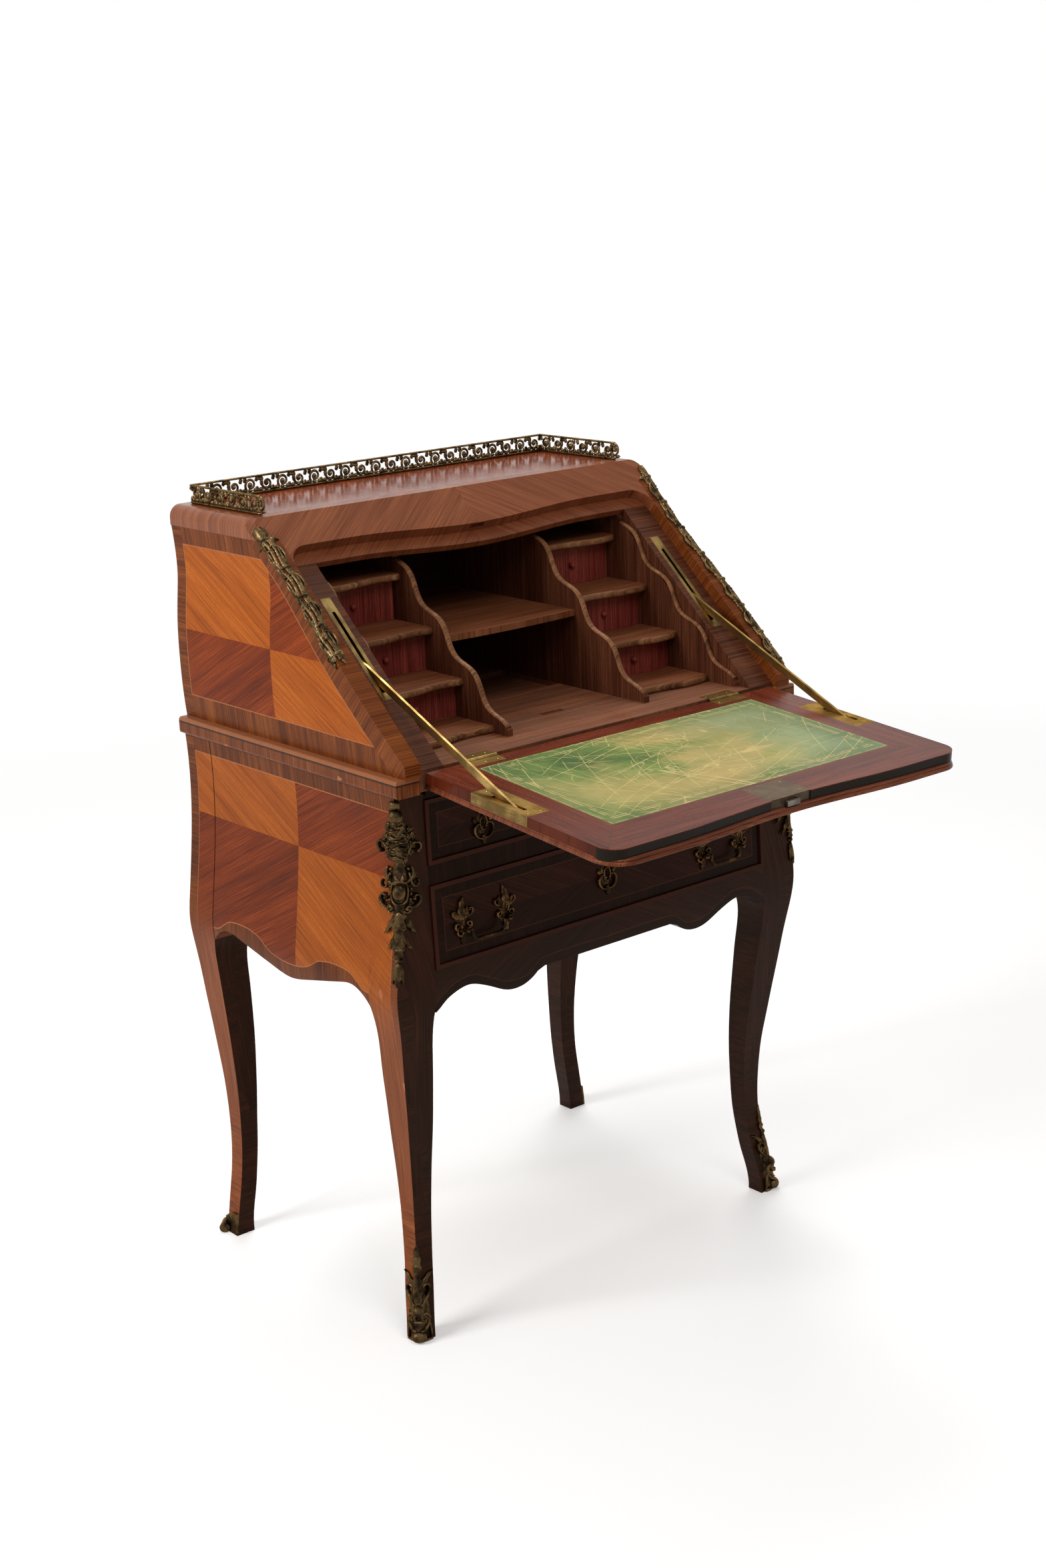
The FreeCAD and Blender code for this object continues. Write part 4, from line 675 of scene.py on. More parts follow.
bronze = bronze_finish("antique gilt bronze", (0.145, 0.094, 0.042), (0.014, 0.009, 0.005))
dark_gilt = bronze_finish("darkened gilt bronze", (0.092, 0.056, 0.024), (0.008, 0.005, 0.003))
handle_bronze = bronze_finish("copper gilt bronze", (0.120, 0.060, 0.024), (0.008, 0.005, 0.003))
brass = brass_finish("worn brass", (0.47, 0.32, 0.115), (0.21, 0.135, 0.050))
dull_brass = brass_finish("dull brass", (0.33, 0.22, 0.080), (0.13, 0.085, 0.034))
dark_bronze = brass_finish("dark lock bronze", (0.090, 0.060, 0.036), (0.040, 0.028, 0.019), 0,
                          0.35)
steel = brass_finish("dull steel", (0.22, 0.21, 0.19), (0.10, 0.095, 0.085), 0)
print("metals ready")

# %% [markdown]
# The leather has faded unevenly from green to straw. Three gilt lines run round it. Two kinds of
# mark lie on it. Some are level lines of slow noise: where the noise passes one half, a hair-thin
# mark shows. The others are straight or slightly bent scratches, each in a lane of its own.

# %% Leather
GILT = (0.46, 0.36, 0.13)
SCRATCH = (0.66, 0.50, 0.20)
GREEN = (0.040, 0.105, 0.016)
TAN = (0.47, 0.330, 0.110)
COOL = (0.29, 0.345, 0.190)
FADING = [(0.42, (0.030, 0.088, 0.012)), (0.60, (0.130, 0.200, 0.036)),
          (0.78, (0.36, 0.325, 0.100))]
# Rows: a gilt line's inset and half width; a mark's seed, stretch and angle; a scratch's seed,
# angle, lane pitch and bend.
GILT_LINES = ((0.0130, 0.0009), (0.0168, 0.0006), (0.0022, 0.0005))
MARK_SETS = ((1.0, 0.8, 0.4), (2.0, 0.12, 1.1), (6.0, 0.3, 1.7), (8.0, 0.2, 3.0))
SCRATCH_SETS = ((1.0, 0.35, 0.017, 0.6), (40.0, 0.95, 0.021, -1.1), (80.0, 1.30, 0.024, 0.3),
                (120.0, 2.05, 0.019, 0.9), (160.0, 2.80, 0.015, -0.5), (200.0, 3.05, 0.021, 1.8),
                (240.0, 0.12, 0.019, -2.4), (280.0, 2.45, 0.026, 4.0), (320.0, 0.60, 0.020, 5.0))
SCRATCH_MIDDLE = 0.14
SCRATCH_SPREAD = 0.26

leather = Finish("green writing leather", specular=0.18)
x, reach, _ = fall_axes(leather)


def turned(across, up, turn):
    """The two distances along and across a line at an angle of turn radians."""
    along = across * math.cos(turn) + up * math.sin(turn)
    return along, up * math.cos(turn) - across * math.sin(turn)


def worn_mark(seed, stretch, turn):
    """Level line of noise, stretched along one direction and kept to some patches."""
    along, across = turned(x, reach, turn)
    level = leather.noise(along * 22.0 * stretch, across * 22.0, seed * 5.0, detail=1.0,
                          distortion=0.3)
    patch = leather.noise(x * 13.0, reach * 13.0, seed + 9.0).above(0.50, 0.04)
    return abs(level - 0.5).below(0.0026, 0.0018) * patch


def scratch(seed, turn, pitch, bend):
    """Share of one set of scratches, each alone in a lane that is pitch wide.

    Across bends by bend times along squared. The lane's number gives three random shares: the
    scratch's place in the lane, its place along it and its length."""
    along, across = turned(x, reach - SCRATCH_MIDDLE, turn)
    across = across + along * along * bend
    lane = (across / pitch).math("FLOOR")
    draw = leather.node("ShaderNodeTexWhiteNoise", {"noise_dimensions": "1D"},
                        {"W": lane + seed}, 1)
    split = leather.node("ShaderNodeSeparateXYZ", None, [draw]).socket.node
    side, start, size = [Signal(leather, split.outputs[i]) for i in range(3)]
    near = abs(across - (lane + side * 0.6 + 0.2) * pitch).below(0.00036, 0.00030)
    away = abs(along - (start - 0.60) * SCRATCH_SPREAD)
    return near * away.below(size * size * 0.080 + 0.006, 0.005)


tone = leather.noise(x * 7.0, reach * 7.0, 1.0, detail=5.0, distortion=0.4)
tone = tone + leather.noise(x * 45.0, reach * 45.0) * 0.22
faded = leather.ramp(tone, FADING)
tan = leather.noise(x * 6.0, reach * 8.0, 21.0, detail=4.0).above(0.50, 0.10)
tan_share = tan * (1.0 - abs(x + 0.02) * 3.6).most(0.0)
faded = leather.mix(tan_share * 0.85, faded, TAN)
cool = leather.noise(x * 7.0, reach * 6.0, 31.0, detail=3.0).above(0.46, 0.10)
faded = leather.mix(cool * x.above(0.06, 0.06) * 0.60, faded, COOL)
edge = span(x, -LEATHER_HALF, LEATHER_HALF).least(span(reach, LEATHER_NEAR, LEATHER_FAR))
gilding = functools.reduce(Signal.__add__, [abs(edge - inset).below(half, 0.0003)
                                            for inset, half in GILT_LINES])
worn = leather.noise(x * 60.0, reach * 60.0, 4.0, detail=3.0).above(0.46, 0.05)
middle = 1.0 - abs(x) * 3.0
marks = joined(worn_mark(*row) for row in MARK_SETS)
lines = joined(scratch(*row) for row in SCRATCH_SETS)
faint = leather.noise(x * 70.0, reach * 70.0, 51.0).above(0.44, 0.10)
green = leather.mix(edge.below(0.026, 0.022) * 0.55, faded, GREEN)
paint = leather.mix(gilding.least(1.0) * worn, green, GILT)
paint = leather.mix(marks * middle * 0.70, paint, SCRATCH)
paint = leather.mix(lines * (faint * 0.6 + 0.30), paint, SCRATCH)
leather.feed(colour=paint, roughness=0.52 - worn * 0.10)
leather.relief(leather.noise(x * 900.0, reach * 900.0), 0.0003, 0.25)
print("leather ready")

# %% [markdown]
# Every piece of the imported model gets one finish, from this table of finishes and names.

# %% Give each carried-over piece its finish
FINISHES = {
    lower_side: ["lower_side_right", "lower_side_left"],
    upper_side: ["upper_side_right", "upper_side_left"],
    leg_wood: ["leg_front_right", "leg_front_left", "leg_back_right", "leg_back_left"],
    front_wood: ["front_middle_rail", "front_top_rail", "front_dividers"],
    apron_wood: ["front_apron"],
    false_wood: ["false_front"],
    short_left_wood: ["short_drawer_left_front"],
    short_right_wood: ["short_drawer_right_front"],
    long_wood: ["long_drawer_front"],
    rail_wood: ["slope_rail"],
    top_wood: ["top_board"],
    ledge_wood: ["ledge_mouldings"],
    fall_wood: ["fall_panel"],
    lip_wood: ["fall_lip"],
    inner_wood: ["step_boards", "centre_shelf"],
    dusty_wood: ["writing_floor", "well_cover"],
    upright_wood: ["pocket_linings", "stay_rails", "inner_partitions", "outer_partitions"],
    back_wood: ["upper_back_panel", "lower_back_panel"],
    drawer_red: ["small_drawer_" + side + "_" + row for side in ("left", "right")
                 for row in ("top", "middle", "bottom")],
    box_wood: ["dust_board", "drawer_runners", "well_box",
               "short_drawer_right_box", "short_drawer_left_box", "long_drawer_box"],
    bronze: ["slope_mounts", "long_drawer_mounts", "gallery"],
    dark_gilt: ["corner_mounts", "front_sabots", "back_sabots"],
    handle_bronze: ["bail_left", "bail_right"],
    brass: ["stay_left", "stay_right"],
    dull_brass: ["hinge_floor_leaves", "hinge_fall_leaves", "slot_plates", "stay_plates"],
    dark_bronze: ["lock_plate"],
    steel: ["lock_bolt"],
    leather: ["leather_panel"],
}
for finish, names in FINISHES.items():
    for name in names:
        nodes[name].data.materials.clear()
        nodes[name].data.materials.append(finish.material)
print("finished pieces:", sum(len(names) for names in FINISHES.values()))

# %% [markdown]
# The bronzes are cast ornament: scrolls, leaves, flowers and beads on a curved ground. Each one
# is drawn flat in millimetres, across and up, with a height, and then laid on the surface that
# carries it. So one small kit of closed shells serves for every mount on the desk, and a mount
# follows its leg or drawer because the surface function does.


def mesh_object(name, points, faces, finish):
    """Mesh object of one finish, from an array of points and an array of four-sided faces."""
    mesh = bpy.data.meshes.new(name)
    mesh.from_pydata(points.reshape(-1, 3).tolist(), [], faces.tolist())
    mesh.materials.append(finish.material)
    mesh.update()
    made = bpy.data.objects.new(name, mesh)
    bpy.context.scene.collection.objects.link(made)
    return made


MM = 0.001
# Balls too small to need more sides and rings.
SMALL = {"sides": 8, "rings": 3}
BACK_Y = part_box("upper_back_panel")[1].y
HEIGHT = 690.0
KNEE_HALF, SIDE_SWEEP = 325.0, 34.0
KNEE_DEPTH, FRONT_SWEEP = 444.0, 38.0


def smooth_through(xs, ys):
    """Natural cubic curve through the points, as a function of an array.

    The bends at the points come from one linear system, in which each stretch gives a row."""
    xs, ys = np.array(xs, float), np.array(ys, float)
    step = np.diff(xs)
    size = len(xs)
    system = np.eye(size)
    rows = np.arange(1, size - 1)
    system[rows, rows - 1] = step[:-1]
    system[rows, rows] = 2.0 * (step[:-1] + step[1:])
    system[rows, rows + 1] = step[1:]
    slopes = np.diff(ys) / step
    bend = np.linalg.solve(system, np.concatenate(([0.0], 6.0 * np.diff(slopes), [0.0])))

    def value(x):
        """Height of the curve over x, from the cubic of the stretch it lies in."""
        i = np.clip(np.searchsorted(xs, x) - 1, 0, size - 2)
        a, b, h = xs[i + 1] - x, x - xs[i], step[i]
        cubic = (bend[i] * a ** 3 + bend[i + 1] * b ** 3) / (6.0 * h)
        start, end = ys[i] / h - bend[i] * h / 6.0, ys[i + 1] / h - bend[i + 1] * h / 6.0
        return cubic + start * a + end * b
    return value


# A point of a curve is (share of the height, share of the sweep that the case draws in by).
SIDE_SHARES = [(0.0, 0.59), (0.029, 0.62), (0.058, 0.70), (0.087, 0.79), (0.116, 0.88),
               (0.159, 0.97), (0.21, 1.0), (0.26, 0.97), (0.319, 0.88), (0.377, 0.735),
               (0.435, 0.585), (0.493, 0.42), (0.551, 0.27), (0.609, 0.08), (0.645, 0.0),
               (0.696, 0.09), (0.768, 0.28), (0.84, 0.43), (0.913, 0.50), (1.0, 0.44)]
FRONT_SHARES = [(0.0, 0.58), (0.029, 0.61), (0.058, 0.69), (0.087, 0.79), (0.116, 0.88),
                (0.159, 0.97), (0.21, 1.0), (0.26, 0.965), (0.319, 0.87), (0.377, 0.71),
                (0.435, 0.55), (0.493, 0.39), (0.551, 0.23), (0.609, 0.06), (0.66, 0.0),
                (0.754, 0.05), (0.826, 0.10), (0.913, 0.15), (1.0, 0.16)]
side_curve = smooth_through(*zip(*SIDE_SHARES))
front_curve = smooth_through(*zip(*FRONT_SHARES))


def side_x(z):
    """Half width of the lower case at a height."""
    return KNEE_HALF - SIDE_SWEEP * side_curve(z / HEIGHT)


def front_y(z):
    """Front of the lower case at a height."""
    return FRONT_SWEEP * front_curve(z / HEIGHT) - KNEE_DEPTH


def on_desk(x, y, z):
    """Points in metres in the frame, from millimetres with Y from the back of the case."""
    x, y, z = np.broadcast_arrays(x, y, z)
    return np.stack((x * MM, y * MM + BACK_Y, z * MM), axis=-1)


class Casting:
    """Closed shells of one piece, drawn flat in millimetres and laid on a surface."""

    def __init__(self, surface, back=0.25):
        """Start with a surface; back is the share of the crest that goes under the ground."""
        self.surface = surface
        self.back = back
        self.points = []
        self.faces = []
        self.count = 0

    def shell(self, u, v, h):
        """Add a grid whose columns wrap round and whose first and last rows are poles."""
        points = self.surface(u, v, h)
        index = np.arange(u.size).reshape(u.shape) + self.count
        after = np.roll(index, -1, axis=1)
        quads = np.stack((index[:-1], after[:-1], after[1:], index[1:]), axis=-1)
        self.points.append(points.reshape(-1, 3))
        self.faces.append(quads.reshape(-1, 4))
        self.count += u.size

    def strip(self, path, half, crest, base=0.0, vein=0.0, sides=8, sharp=1.0):
        """Band along a flat path: an arched top of the given half width and crest.

        Across is half times cos, height is crest times sin over the base; a vein pulls the
        middle line down. Both ends close on a point."""
        path = np.asarray(path, float)
        half = np.concatenate(([0.0], np.broadcast_to(half, len(path)), [0.0]))
        crest = np.broadcast_to(crest, len(path))
        crest = np.concatenate((crest[:1] * 0.4, crest, crest[-1:] * 0.4))
        path = np.concatenate((path[:1], path, path[-1:]))
        tangent = np.gradient(path, axis=0)
        tangent[0], tangent[-1] = tangent[1], tangent[-2]
        tangent /= np.maximum(np.linalg.norm(tangent, axis=1, keepdims=True), 1e-9)
        turn = np.linspace(0.0, 2.0 * np.pi, sides, endpoint=False)
        a, b = np.cos(turn)[None, :], np.sin(turn)[None, :]
        across = half[:, None] * a
        u = path[:, :1] - tangent[:, 1:] * across
        v = path[:, 1:] + tangent[:, :1] * across
        top = np.where(b > 0, np.abs(b) ** sharp * (1.0 - vein * (1.0 - np.abs(a))), b * self.back)
        lift = crest[:, None] * top
        lift[0], lift[-1] = lift[0].mean(), lift[-1].mean()
        if np.ndim(base):
            base = np.concatenate((base[:1], base, base[-1:]))[:, None]
        self.shell(u, v, base + lift)

    def boss(self, u0, v0, wide, high, crest, base=0.0, petals=0, dent=0.25, sides=16, rings=5,
             turn=0.0):
        """Domed oval, or a flower when it has petals, with a flat underside.

        Radius is 1 - dent * |sin(petals * angle / 2)|; height is crest * sqrt(1 - r * r)."""
        angle = np.linspace(0.0, 2.0 * np.pi, sides, endpoint=False)[None, :]
        r = np.sin(np.linspace(0.0, np.pi / 2.0, rings))[:, None]
        wave = 1.0 - dent * np.abs(np.sin(petals * (angle + turn) / 2.0)) if petals else 1.0
        height = np.sqrt(np.clip(1.0 - r * r, 0.0, 1.0)) * np.ones_like(angle)
        if petals:
            height = 0.55 * height + 0.45 * np.exp(-((r - 0.62) / 0.22) ** 2) * wave
            height += 0.6 * np.exp(-(r / 0.22) ** 2)
            height[-1] = 0.12
        r = np.concatenate((r, [[1.0], [0.0]]))
        height = np.concatenate((height, np.full((2, angle.size), -0.6 * self.back)))
        u = u0 + wide * r * wave * np.cos(angle)
        v = v0 + high * r * wave * np.sin(angle)
        self.shell(u, v, base + crest * height)

    def make(self, name, finish, slot, body, *stands_for):
        """Join the shells into one object that rides on a body and replaces CAD nodes."""
        made = mesh_object(name, np.concatenate(self.points), np.concatenate(self.faces), finish)
        form = bmesh.new()
        form.from_mesh(made.data)
        bmesh.ops.remove_doubles(form, verts=form.verts, dist=2e-6)
        bmesh.ops.recalc_face_normals(form, faces=form.faces)
        for face in form.faces:
            face.smooth = True
        form.to_mesh(made.data)
        form.free()
        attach(made, body)
        if stands_for:
            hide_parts(*stands_for)
        print(name, "faces", len(made.data.polygons))
        return made


SCROLL_POINTS, SPIRAL_POINTS = 30, 26
BOTH_SIDES = ((-1, 1.0), (1, 1.0))


def scroll(start, heading, length, bends, count):
    """Flat path whose heading turns at a rate that slides through the bends, in turns."""
    t = np.linspace(0.0, 1.0, count)
    rate = np.interp(t, np.linspace(0.0, 1.0, len(bends)), bends)
    angle = math.radians(heading) + 2.0 * np.pi * np.cumsum(rate) / count
    step = length / (count - 1)
    moves = np.stack((np.cos(angle), np.sin(angle)), axis=-1) * step
    return np.array(start, float) + np.cumsum(moves, axis=0) - moves[0]


def spiral(middle, outer, inner, start, turns):
    """Flat path round a middle, its radius falling from outer to inner over some turns."""
    t = np.linspace(0.0, 1.0, SPIRAL_POINTS)
    angle = math.radians(start) + 2.0 * np.pi * turns * t
    radius = outer + (inner - outer) * t ** 0.8
    around = np.stack((radius * np.cos(angle), radius * np.sin(angle)), axis=-1)
    return np.array(middle, float) + around


def swell(low, high):
    """Widths along a scroll that grow from low to high in the middle and back."""
    return low + (high - low) * np.sin(np.linspace(0.0, np.pi, SCROLL_POINTS)) ** 0.6


def leaf_widths(count, half, lobes):
    """Widths of an acanthus blade: broad near its foot, lobed, and drawn out to a tip."""
    t = np.linspace(0.0, 1.0, count)
    lobed = 1.0 + 0.22 * np.sin(2.0 * np.pi * lobes * t)
    return half * np.sin(np.pi * t ** 0.7) ** 0.8 * lobed + 0.15


def add_scroll(cast, start, heading, length, bends, half, crest, base, eye):
    """Scroll with an eye of its own at its end, unless that eye is 0."""
    path = scroll(start, heading, length, bends, SCROLL_POINTS)
    cast.strip(path, swell(half * 0.45, half), swell(crest * 0.6, crest), base, vein=-0.15)
    if eye:
        cast.boss(*path[-1], eye, eye, crest * 1.1, base)


def add_leaf(cast, start, heading, length, bend, half, crest, base=0.0, lobes=3.0, count=18):
    """Acanthus blade that bends one way, with a sunk vein and raised edges."""
    path = scroll(start, heading, length, (bend * 0.3, bend), count)
    lift = crest * (0.55 + 0.45 * np.sin(np.linspace(0.15, np.pi, count)))
    cast.strip(path, leaf_widths(count, half, lobes), lift, base, vein=0.45, sides=10)


def mirrored(cast, scrolls=(), leaves=(), middle=(0.0, 0.0), sides=BOTH_SIDES):
    """Draw rows of scrolls and leaves on each side of a middle point.

    A scroll is (across, up, heading, length, bends, half, crest, base, eye) and a leaf is
    (across, up, heading, length, bend, half, crest, base, lobes, count), for the right side.
    Sides holds -1 or 1 for each side to draw, and a share that its width is drawn in by."""
    for side, share in sides:
        for u, v, heading, length, bends, *form in scrolls:
            add_scroll(cast, (middle[0] + side * u * share, middle[1] + v),
                       90 - side * (90 - heading), length * share,
                       [side * bend for bend in bends], *form)
        for u, v, heading, length, bend, *form in leaves:
            add_leaf(cast, (middle[0] + side * u * share, middle[1] + v),
                     90 - side * (90 - heading), length, side * bend, *form)


def ring(middle, wide, high, count):
    """Closed flat path: an oval round a point, once round from its top."""
    turn = np.linspace(0.0, 2.0 * np.pi, count)
    return np.stack((wide * np.sin(turn), middle + high * np.cos(turn)), axis=-1)


print("kit ready, back of the case at", round(BACK_Y, 4))

# %% [markdown]
# The corner mounts hang on the knees: a cap and bead, a bouquet, a cartouche of C-scrolls round
# an oval boss, then husks that taper to a reeded tail. The ground is the leg's own corner, so
# the drawing folds round it: to one side it lies on the flank, to the other on the front.

# %% Corner mounts and shoes
FOLD = 5.0
ARC = FOLD * np.pi / 4.0
KNEE_LIMIT = 330.0
GOLDEN_ANGLE = 2.39996
BOUQUET, CARTOUCHE, OVAL = 636.0, 580.0, 578.0
MOUNT_SIDES = ((-1, 0.88), (1, 0.80))
MOUNT_SCROLLS = ((5, 617, 20, 52, (0.9, -0.35, -0.9, -1.6), 2.1, 5.5, 1.2, 2.6),
                 (7, 560, 10, 46, (-0.5, 0.45, 1.0, 1.7), 2.1, 5.5, 1.2, 2.6),
                 (17, 606, -50, 44, (-0.5, -0.55, -0.9), 2.2, 5.0, 0.6, 0.0),
                 (12, 598, -70, 34, (-0.3, 0.5, 1.4), 1.6, 4.4, 2.6, 1.8),
                 (4, 556, -60, 26, (0.6, 0.9, 1.5), 1.7, 4.6, 2.0, 2.0))
MOUNT_OUTER_LEAVES = ((17, 590, 25, 13, 0.35, 3.0, 4.4), (14, 566, -25, 14, -0.45, 3.0, 4.4))
MOUNT_LEAVES = ((1, 656, 66, 22, 0.2, 3.6, 5.0), (3, 553, -66, 34, 0.12, 3.4, 5.0, 1.0),
                (2, 530, -70, 26, 0.14, 3.0, 4.4, 1.0), (2, 494, -82, 24, 0.0, 2.0, 4.0))
# The tail's husks are (up, length, half, crest, base, lobes), its beads (up, wide, high, crest).
MOUNT_TAIL = ((556, 40, 4.4, 7.0, 1.5), (530, 32, 3.8, 6.0, 1.5), (496, 31, 2.9, 5.4, 0.4, 4.0))
TAIL_BEADS = ((536, 6.2, 4.0, 7.5), (512, 5.0, 3.2, 6.6), (505, 4.4, 3.2, 5.6),
              (499, 3.8, 3.2, 4.6))


def round_corner(sign, lift):
    """Surface round a front corner: across is measured from the corner's diagonal.

    Within a quarter circle of the fold radius it turns from flank to front; past that it runs
    straight along the flank (negative) or the front (positive)."""
    def place(u, v, h):
        """Point a distance round the corner, at a height, and out from the ground."""
        v = np.clip(v, 0.0, HEIGHT)
        out = FOLD + h + lift
        angle = np.pi / 4.0 + np.clip(u, -ARC, ARC) / FOLD
        x = side_x(v) - FOLD + out * np.cos(angle) - np.maximum(u - ARC, 0.0)
        y = front_y(v) + FOLD - out * np.sin(angle) + np.maximum(-u - ARC, 0.0)
        return on_desk(sign * np.minimum(x, KNEE_LIMIT), y, v)
    return place


def corner_mount(name, sign):
    """One knee mount, from its cap down to its tail."""
    cast = Casting(round_corner(sign, 1.0))
    cast.strip([(0, 684), (0, 681), (0, 676)], 4.6, 6.5)
    cast.boss(0, 666, 6.5, 9.0, 8.0)
    cast.boss(0, BOUQUET, 18.0, 24.0, 5.0)
    for i in range(14):
        turn = 2.0 * np.pi * (i + 0.5) / 14.0
        add_leaf(cast, (13.0 * math.cos(turn), BOUQUET + 17.0 * math.sin(turn)),
                 math.degrees(turn), 11.0, 0.25 * (-1) ** i, 3.4, 4.4, 0.8, 2.0, 10)
    for i in range(22):
        reach, turn = 4.3 * math.sqrt(i + 0.3), GOLDEN_ANGLE * i
        u, v = 0.92 * reach * math.cos(turn), BOUQUET + 1.0 + 1.18 * reach * math.sin(turn)
        size = 4.6 + 0.8 * math.cos(turn * 3.0)
        cast.boss(u, v, size, size, 5.0, 3.8 - 0.12 * i, 5, 0.34, 20, 6, i)
        cast.boss(u, v, 1.4, 1.4, 3.2, 6.0 - 0.12 * i, **SMALL)
    cast.boss(0, CARTOUCHE, 13.0, 37.0, 3.4)
    for i in range(9):
        for side in (-1, 1):
            cast.boss(side * (9.5 + 3.0 * math.sin(np.pi * i / 8.0)), 556.0 + 6.0 * i, 1.8, 2.2,
                      3.0, 2.0, **SMALL)
    cast.boss(0, OVAL, 4.2, 10.5, 7.5, 2.0)
    cast.strip(ring(OVAL, 6.6, 13.5, 26), 1.4, 3.2, 3.2)
    mirrored(cast, MOUNT_SCROLLS, MOUNT_OUTER_LEAVES, sides=MOUNT_SIDES)
    mirrored(cast, leaves=MOUNT_LEAVES)
    for v, length, *form in MOUNT_TAIL:
        add_leaf(cast, (0, v), -90, length, 0.0, *form)
    for v, wide, high, crest in TAIL_BEADS:
        cast.boss(0, v, wide, high, crest)
    return cast.make(name, dark_gilt, "gilt_bronze", "case")


corner_mount("corner_mount_left", -1.0)
right_mount = corner_mount("corner_mount_right", 1.0)
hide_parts("corner_mounts")

SHOE_SCROLLS = ((2, 15, 20, 44, (0.3, 0.7, 1.5), 2.4, 5.6, 1.4, 2.6),
                (16, 4, 86, 52, (0.15, 0.2, 1.6), 2.0, 4.6, 0.6, 2.2),
                (4, 48, 50, 36, (-0.2, 0.5, 1.7), 1.9, 4.6, 1.0, 2.0))
SHOE_LEAVES = ((3, 34, 60, 30, 0.25, 4.0, 5.0, 1.0), (2, 62, 70, 30, -0.22, 3.4, 4.6, 0.6),
               (9, 20, 60, 24, 0.3, 3.6, 5.0, 0.6))


def front_shoe(name, sign):
    """Front sabot: a wrap round the foot, scrolled edges, a shell and a pointed finial."""
    cast = Casting(round_corner(sign, 0.2))
    cast.boss(0, 30, 17.0, 36.0, 3.0)
    cast.strip([(u, 2.2) for u in (-17, -9, 0, 9, 17)], 2.2, 4.6)
    cast.boss(0, 8, 8.5, 8.0, 9.0)
    mirrored(cast, SHOE_SCROLLS, SHOE_LEAVES)
    cast.boss(0, 40, 4.6, 7.0, 7.0, 1.6)
    add_leaf(cast, (0, 46), 90, 40, 0.0, 5.2, 6.4, 0.8)
    add_leaf(cast, (0, 76), 90, 46, 0.0, 4.0, 5.6, 0.6, 4.0)
    for i in range(4):
        cast.boss(0, 84 + 9 * i, 2.9 - 0.4 * i, 4.0, 5.2 - 0.6 * i, 0.6)
    return cast.make(name, dark_gilt, "gilt_bronze", "case")


front_shoe("front_shoe_left", -1.0)
shoe_right = front_shoe("front_shoe_right", 1.0)
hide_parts("front_sabots")

# %% [markdown]
# The gallery is a low pierced fence on three sides of the top. Each run is the same vine: one
# scroll after another, turned up and down by turns, between a base and a thin rail. The side
# runs end in a scroll at the front.

# %% Gallery
CASE_TOP = 976.5
GALLERY_HALF = 281.0
GALLERY_BACK, GALLERY_FRONT = -12.0, -165.0
PITCH = 24.5
# A rail is (up, half, crest), a leaf (along, up, its headings by turns, bend).
GALLERY_RAILS = ((22.1, 1.5, 2.3), (1.6, 1.7, 2.3), (4.6, 0.9, 1.6))
VINE_MIDDLE = 11.8
VINE_LEAVES = ((-7.0, 3.0, (70, 110), -0.3), (8.0, 4.0, (-25, 25), 0.35),
               (9.0, -3.0, (40, -40), -0.3), (-4.0, -6.5, (-168, 168), 0.3))


def fence_line(x0, y0, run_x, run_y):
    """Surface of a fence over a level line: up is Z and height points to its right."""
    def place(u, v, h):
        """Point at a distance along the line, over the top and to the side."""
        return on_desk(x0 + run_x * u + run_y * h, y0 + run_y * u - run_x * h, CASE_TOP + v)
    return place


def fence(cast, x0, y0, run_x, run_y, length):
    """One run of the gallery: three rails, and a scroll with leaves and beads for each step."""
    cast.surface = fence_line(x0, y0, run_x, run_y)
    count = round(length / PITCH)
    step = length / count
    level = np.linspace(0.0, length, 30)
    for height, half, crest in GALLERY_RAILS:
        cast.strip(np.stack((level, np.full(30, height)), axis=-1), half, crest, sides=6)
    for i in range(count):
        side = 1 if i % 2 else -1
        u, v = (i + 0.5) * step, VINE_MIDDLE
        path = spiral((u + 1.0, v), 8.6, 2.2, 180 + side * 40, -side * 1.35)
        join = np.array((u - 0.5 * step - 1.5, v - side * 7.0))
        path = np.concatenate((join + (path[0] - join) * np.linspace(0, 0.9, 5)[:, None], path))
        cast.strip(path, np.linspace(2.1, 1.3, len(path)), 1.6, sides=6)
        cast.boss(u + 1.0, v, 2.9, 2.9, 2.0, **SMALL)
        for du, dv, headings, bend in VINE_LEAVES:
            add_leaf(cast, (u + du, v + side * dv), headings[i % 2], 8.5, side * bend, 2.7, 1.8,
                     0.0, 2.0, 8)
        for du in (-8.0, 0.0, 8.0):
            cast.boss(u + du, 4.8, 2.6, 2.9, 2.0, **SMALL)


cast = Casting(None, back=1.0)
fence(cast, -GALLERY_HALF, GALLERY_BACK, 1.0, 0.0, 2.0 * GALLERY_HALF)
for sign in (-1.0, 1.0):
    fence(cast, sign * GALLERY_HALF, GALLERY_FRONT, 0.0, 1.0, GALLERY_BACK - GALLERY_FRONT)
    cast.strip(spiral((1.0, 12.6), 9.4, 2.4, 80, 1.4), 1.3, 1.9, sides=6)
    cast.boss(1.0, 12.6, 2.4, 2.4, 2.0, **SMALL)
    add_leaf(cast, (-2.0, 3.4), 150, 9, 0.2, 2.2, 1.8, 0.0, 2.0, 10)
cast.make("gallery_vine", bronze, "gilt_bronze", "case", "gallery")

# %% [markdown]
# Along the slope runs a bundle of reeds, bound with leaves and set with loops. Its surface is the
# outer edge of the sloping front, so up means along the slope.

# %% Slope mounts
SLOPE_OUTER = 14.5
HINGE_Y_MM, HINGE_Z_MM = -450.0, 713.5
TOP_HALF = 307.0
UPPER_FOOT, UPPER_RISE = 711.0, 241.0
